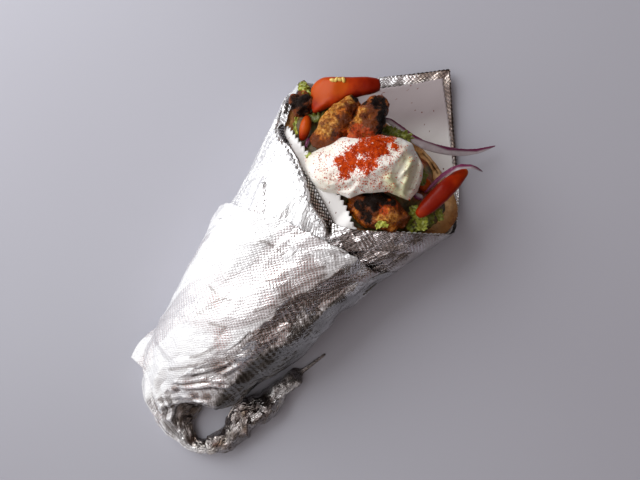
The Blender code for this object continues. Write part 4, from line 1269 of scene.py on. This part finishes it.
seeds = {
    "places": ((-40.4, 64.6), (-41.6, 63.6), (-39.0, 65.6), (-42.8, 62.3)),
    "size": (1.5, 0.9, 0.6),
    "firstTurn": 0.6,
}


def makeSeeds():
    piece = newPrimitive("tomato_seeds", bpy.ops.mesh.primitive_uv_sphere_add, segments=12, ring_count=8,
                         radius=1)
    ball, faces = readVertices(piece, "co"), [list(face.vertices) for face in piece.data.polygons]
    ground = verticesOf(bpy.data.objects["slice_tomato_1"])
    points, allFaces = [], []
    for number, place in enumerate(seeds["places"]):
        place = np.array(place) + wrap["shift"]
        near = ground[np.linalg.norm(ground[:, :2] - place, axis=1) < 1.0]
        turn = np.array(Matrix.Rotation(seeds["firstTurn"] + number, 3, "Z"))
        points.append((*place, near[:, 2].max()) + (ball * seeds["size"]) @ turn.T)
        allFaces += [[index + number * len(ball) for index in face] for face in faces]
    piece.data = newMesh("tomato_seeds", np.concatenate(points), allFaces)
    bpy.ops.object.shade_smooth()
    placeOnBody(piece, None, newMaterial("tomatoSeed", seedFinish))


onion = {                             # the line of each sliver's purple edge
    "onion_1": ((-19, 62), (-11.5, 67.3), (3.5, 68.2), (19.3, 75.6), (31, 86), (38, 96)),
    "onion_2": ((24, 49.5), (24.6, 60), (26.6, 68), (32, 73.2), (38.6, 75.3)),
    "onion_3": ((-36, 36), (-33.5, 30)),
    "onion_4": ((20, 45), (25, 46)),
}


def makeOnion():
    finish = newMaterial("redOnion", onionFinish)
    for node, purple in onion.items():
        piece, points = finerCopy(f"sliver_{node}", node, voxel=0.3, rounds=5)[:2]
        setMask(piece, "purple", 1 - fade(0.5, 1.9, awayFrom(points, purple)))
        placeOnBody(piece, node, finish)


salad = {"juicy": ((23, 55, 6), (24, 49, 5), (27, 60, 5), (14, 62, 4))}          # where tomato lies in it


def makeFilling():
    piece, points, normal = finerCopy("filling_core", "salad", voxel=0.9, rounds=3)
    side = points[:, (0, 2)]
    leafy = 1.3 * creases(side, 5, 20, 1.6, 31) + 0.7 * creases(side, 2.6, -40, 1.4, 32)
    points = points + normal * (leafy + 0.4 * grain(points / 1.8))[:, None]
    moveVertices(piece, points)
    setMask(piece, "juicy", spots(points, salad["juicy"]))
    placeOnBody(piece, "salad", newMaterial("filling", fillingFinish))


leaves = {
    "shreds": (                       # path, width, brightness from dark to pale, ruffle
        (((17, 22.5, 47), (17.5, 25.5, 50.5), (20.5, 26.5, 50.2)), 2.6, 1.0, 0.5),
        (((24, 42, 39), (26.5, 39.5, 41), (30, 38.5, 41)), 4.5, 0.5, 0.9),
        (((29, 41, 39), (32, 38.5, 41), (34.5, 35.5, 40)), 5.0, 0.6, 1.0),
        (((27, 36, 37), (29.5, 33.5, 39), (33, 34, 38)), 4.0, 0.55, 0.8),
        (((31, 46, 34), (33.5, 42.5, 37), (36, 39, 37)), 4.0, 0.35, 0.8),
        (((33, 48.5, 34), (36, 47, 36.5), (38.5, 45, 36)), 3.2, 0.5, 0.6),
        (((-10, 59.5, 38), (-6.5, 61.8, 41), (-2, 63.5, 41)), 4.2, 0.25, 0.9),
        (((-4, 62.5, 40), (0, 64.5, 41.5), (3, 65, 39)), 3.4, 0.45, 0.8),
        (((-46, 48.5, 34), (-50.5, 51, 36.5), (-55, 50.5, 36)), 3.0, 0.95, 0.6),
        (((-50, 52.5, 34), (-53, 53, 36), (-56, 52, 34)), 2.6, 0.6, 0.5),
        (((-46.5, 39.5, 36), (-43.8, 35, 38.2), (-40.5, 32.6, 38)), 1.3, 0.9, 0.4),
        (((-30.5, 28.2, 42), (-28.5, 28.3, 44.2), (-27, 26.5, 44)), 3.0, 0.9, 0.4),
        (((-42, 42, 35), (-38, 45, 37), (-36, 49, 36)), 4.0, 0.15, 0.8),
        (((-38, 50, 34), (-36, 55, 36), (-34, 58, 35)), 4.0, 0.1, 0.8),
        (((14, 57.5, 36), (18, 56, 37), (21, 52, 36)), 3.5, 0.2, 0.7),
    ),
    "rows": 64,
    "columns": 15,
    "wall": 0.35,
}


def unit(vectors):
    return vectors / np.linalg.norm(vectors, axis=1)[:, None]


def leafPoints(path, width, ruffle, number, phase):
    t = np.linspace(0, 2, leaves["rows"])
    s = np.linspace(-1, 1, leaves["columns"])
    path = np.array(path, float) + (*wrap["shift"], 0)
    centre = np.stack([flow((0, 1, 2), path[:, axis], t) for axis in range(3)], -1)
    ahead = unit(np.gradient(centre, axis=0))
    side = unit(np.cross(ahead, (0, 0, 1)))
    up = np.cross(side, ahead)
    taper = np.sin(math.pi * np.clip((t / 2) * 0.86 + 0.07, 0, 1)) ** 0.55
    left, right = (1 + 0.55 * grain(np.stack([t * 5, 0 * t + half, 0 * t + number], -1)) for half in (0, 4))
    reach = np.where(s < 0, left[:, None], right[:, None]) * taper[:, None] * width / 2
    points = centre[:, None] + side[:, None] * (s * reach)[..., None]
    wave = ruffle * (np.abs(s) ** 1.5 * np.sin(t[:, None] * 11 + phase + s * 2.2) + 0.9 * s**2)
    wave = wave + 0.5 * ruffle * grain(points / 1.3)
    return points + up[:, None] * wave[..., None]


def makeLeaves():
    random = np.random.default_rng(3)
    strips = []
    for number, (path, width, bright, ruffle) in enumerate(leaves["shreds"]):
        points = leafPoints(path, width, ruffle, number, random.uniform(0, 6))
        strips.append(layGrid(f"leaf_{number}", points, {"bright": bright}))
    pick(*strips)
    bpy.ops.object.join()
    piece = strips[0]
    piece.name = piece.data.name = "lettuce_shreds"
    piece.modifiers.new("wall", "SOLIDIFY").thickness = leaves["wall"] * mm
    applyAll(piece)
    placeOnBody(piece, None, newMaterial("lettuce", leafFinish))


print("stage: food")
makeFilling()
makeChicken()
makePaprika(makeSauce())
makeTomato()
makeSeeds()
makeOnion()
makeLeaves()


# Floor, light and camera, in metres.

studio = {
    "floor": 0.9,
    "floorDrop": 0.0002,
    "sky": (                          # tones from -x and -y, bright, to +x and +y, dark and warm
        (0.0, (0.95, 0.97, 1.0)), (0.33, (1.0, 1.0, 1.0)), (0.48, (0.54, 0.505, 0.51)),
        (0.63, (0.36, 0.32, 0.32)), (0.77, (0.22, 0.19, 0.18)), (0.85, (0.10, 0.08, 0.07)),
        (1.0, (0.035, 0.028, 0.025)),
    ),
    "skyStrength": 1.25,
    "window": (-0.48, 0.02, 0.40),
    "windowTarget": (0, 0, 0.02),
    "windowSize": 0.5,
    "windowPower": 3.2,
    "windowColour": (0.95, 0.98, 1.0),
    "camera": (0.01523, 0.03483, 0.32531),
    "cameraTurn": 40,                 # the wrap's mouth points up and to the right of the view
    "cameraLean": 4.4,                # degrees off straight down
    "cameraLeanWay": 25.5,
    "lens": 33.75,
}


def floorFinish(work):
    tone = work.ramp(work.noise(400, 2), (0.3, (0.42, 0.41, 0.46)), (0.7, (0.46, 0.46, 0.51)))
    return {"Base Color": tone, "Roughness": 0.7}


def makeFloor():
    floor = newPrimitive("floor", bpy.ops.mesh.primitive_plane_add, size=studio["floor"],
                         location=(0, 0, -studio["floorDrop"]))
    floor.data.materials.append(newMaterial("paleFloor", floorFinish))


def makeSky():
    world = bpy.data.worlds.new("studio")
    bpy.context.scene.world = world
    world.use_nodes = True
    work = NodeWork(world.node_tree)
    x, y = work.node("SeparateXYZ", {0: work.coords("Generated")}).outputs[:2]
    ahead = work.math("MAXIMUM", x, work.math("MULTIPLY_ADD", y, 1.6, -0.1))
    background = world.node_tree.nodes["Background"]
    work.feed(background.inputs[0], work.ramp(work.math("MULTIPLY_ADD", ahead, 0.5, 0.5), *studio["sky"]))
    work.feed(background.inputs[1], studio["skyStrength"])


def makeWindow():
    light = bpy.data.lights.new("window", "AREA")
    light.shape = "SQUARE"
    light.size = studio["windowSize"]
    light.energy = studio["windowPower"]
    light.color = studio["windowColour"]
    lamp = bpy.data.objects.new("window", light)
    bpy.context.scene.collection.objects.link(lamp)
    lamp.location = studio["window"]
    back = Vector(studio["window"]) - Vector(studio["windowTarget"])
    lamp.rotation_euler = back.to_track_quat("Z", "Y").to_euler()


def makeCamera():
    lens = bpy.data.cameras.new("camera")
    lens.lens = studio["lens"]
    lens.sensor_width = 36
    lens.clip_start = 0.01
    eye = bpy.data.objects.new("camera", lens)
    bpy.context.scene.collection.objects.link(eye)
    turn, way = math.radians(studio["cameraTurn"]), math.radians(studio["cameraLeanWay"])
    right = Vector((math.cos(turn), math.sin(turn), 0))
    up = Vector((-math.sin(turn), math.cos(turn), 0))
    over = Vector((0, 0, 1))
    toward = right * math.cos(way) + up * math.sin(way)
    lean = Matrix.Rotation(math.radians(studio["cameraLean"]), 3, over.cross(toward))
    turned = Matrix((lean @ right, lean @ up, lean @ over)).transposed()
    eye.matrix_world = Matrix.Translation(studio["camera"]) @ turned.to_4x4()
    bpy.context.scene.camera = eye


print("stage: studio")
makeFloor()
makeSky()
makeWindow()
makeCamera()
bpy.context.scene.view_settings.view_transform = "Standard"
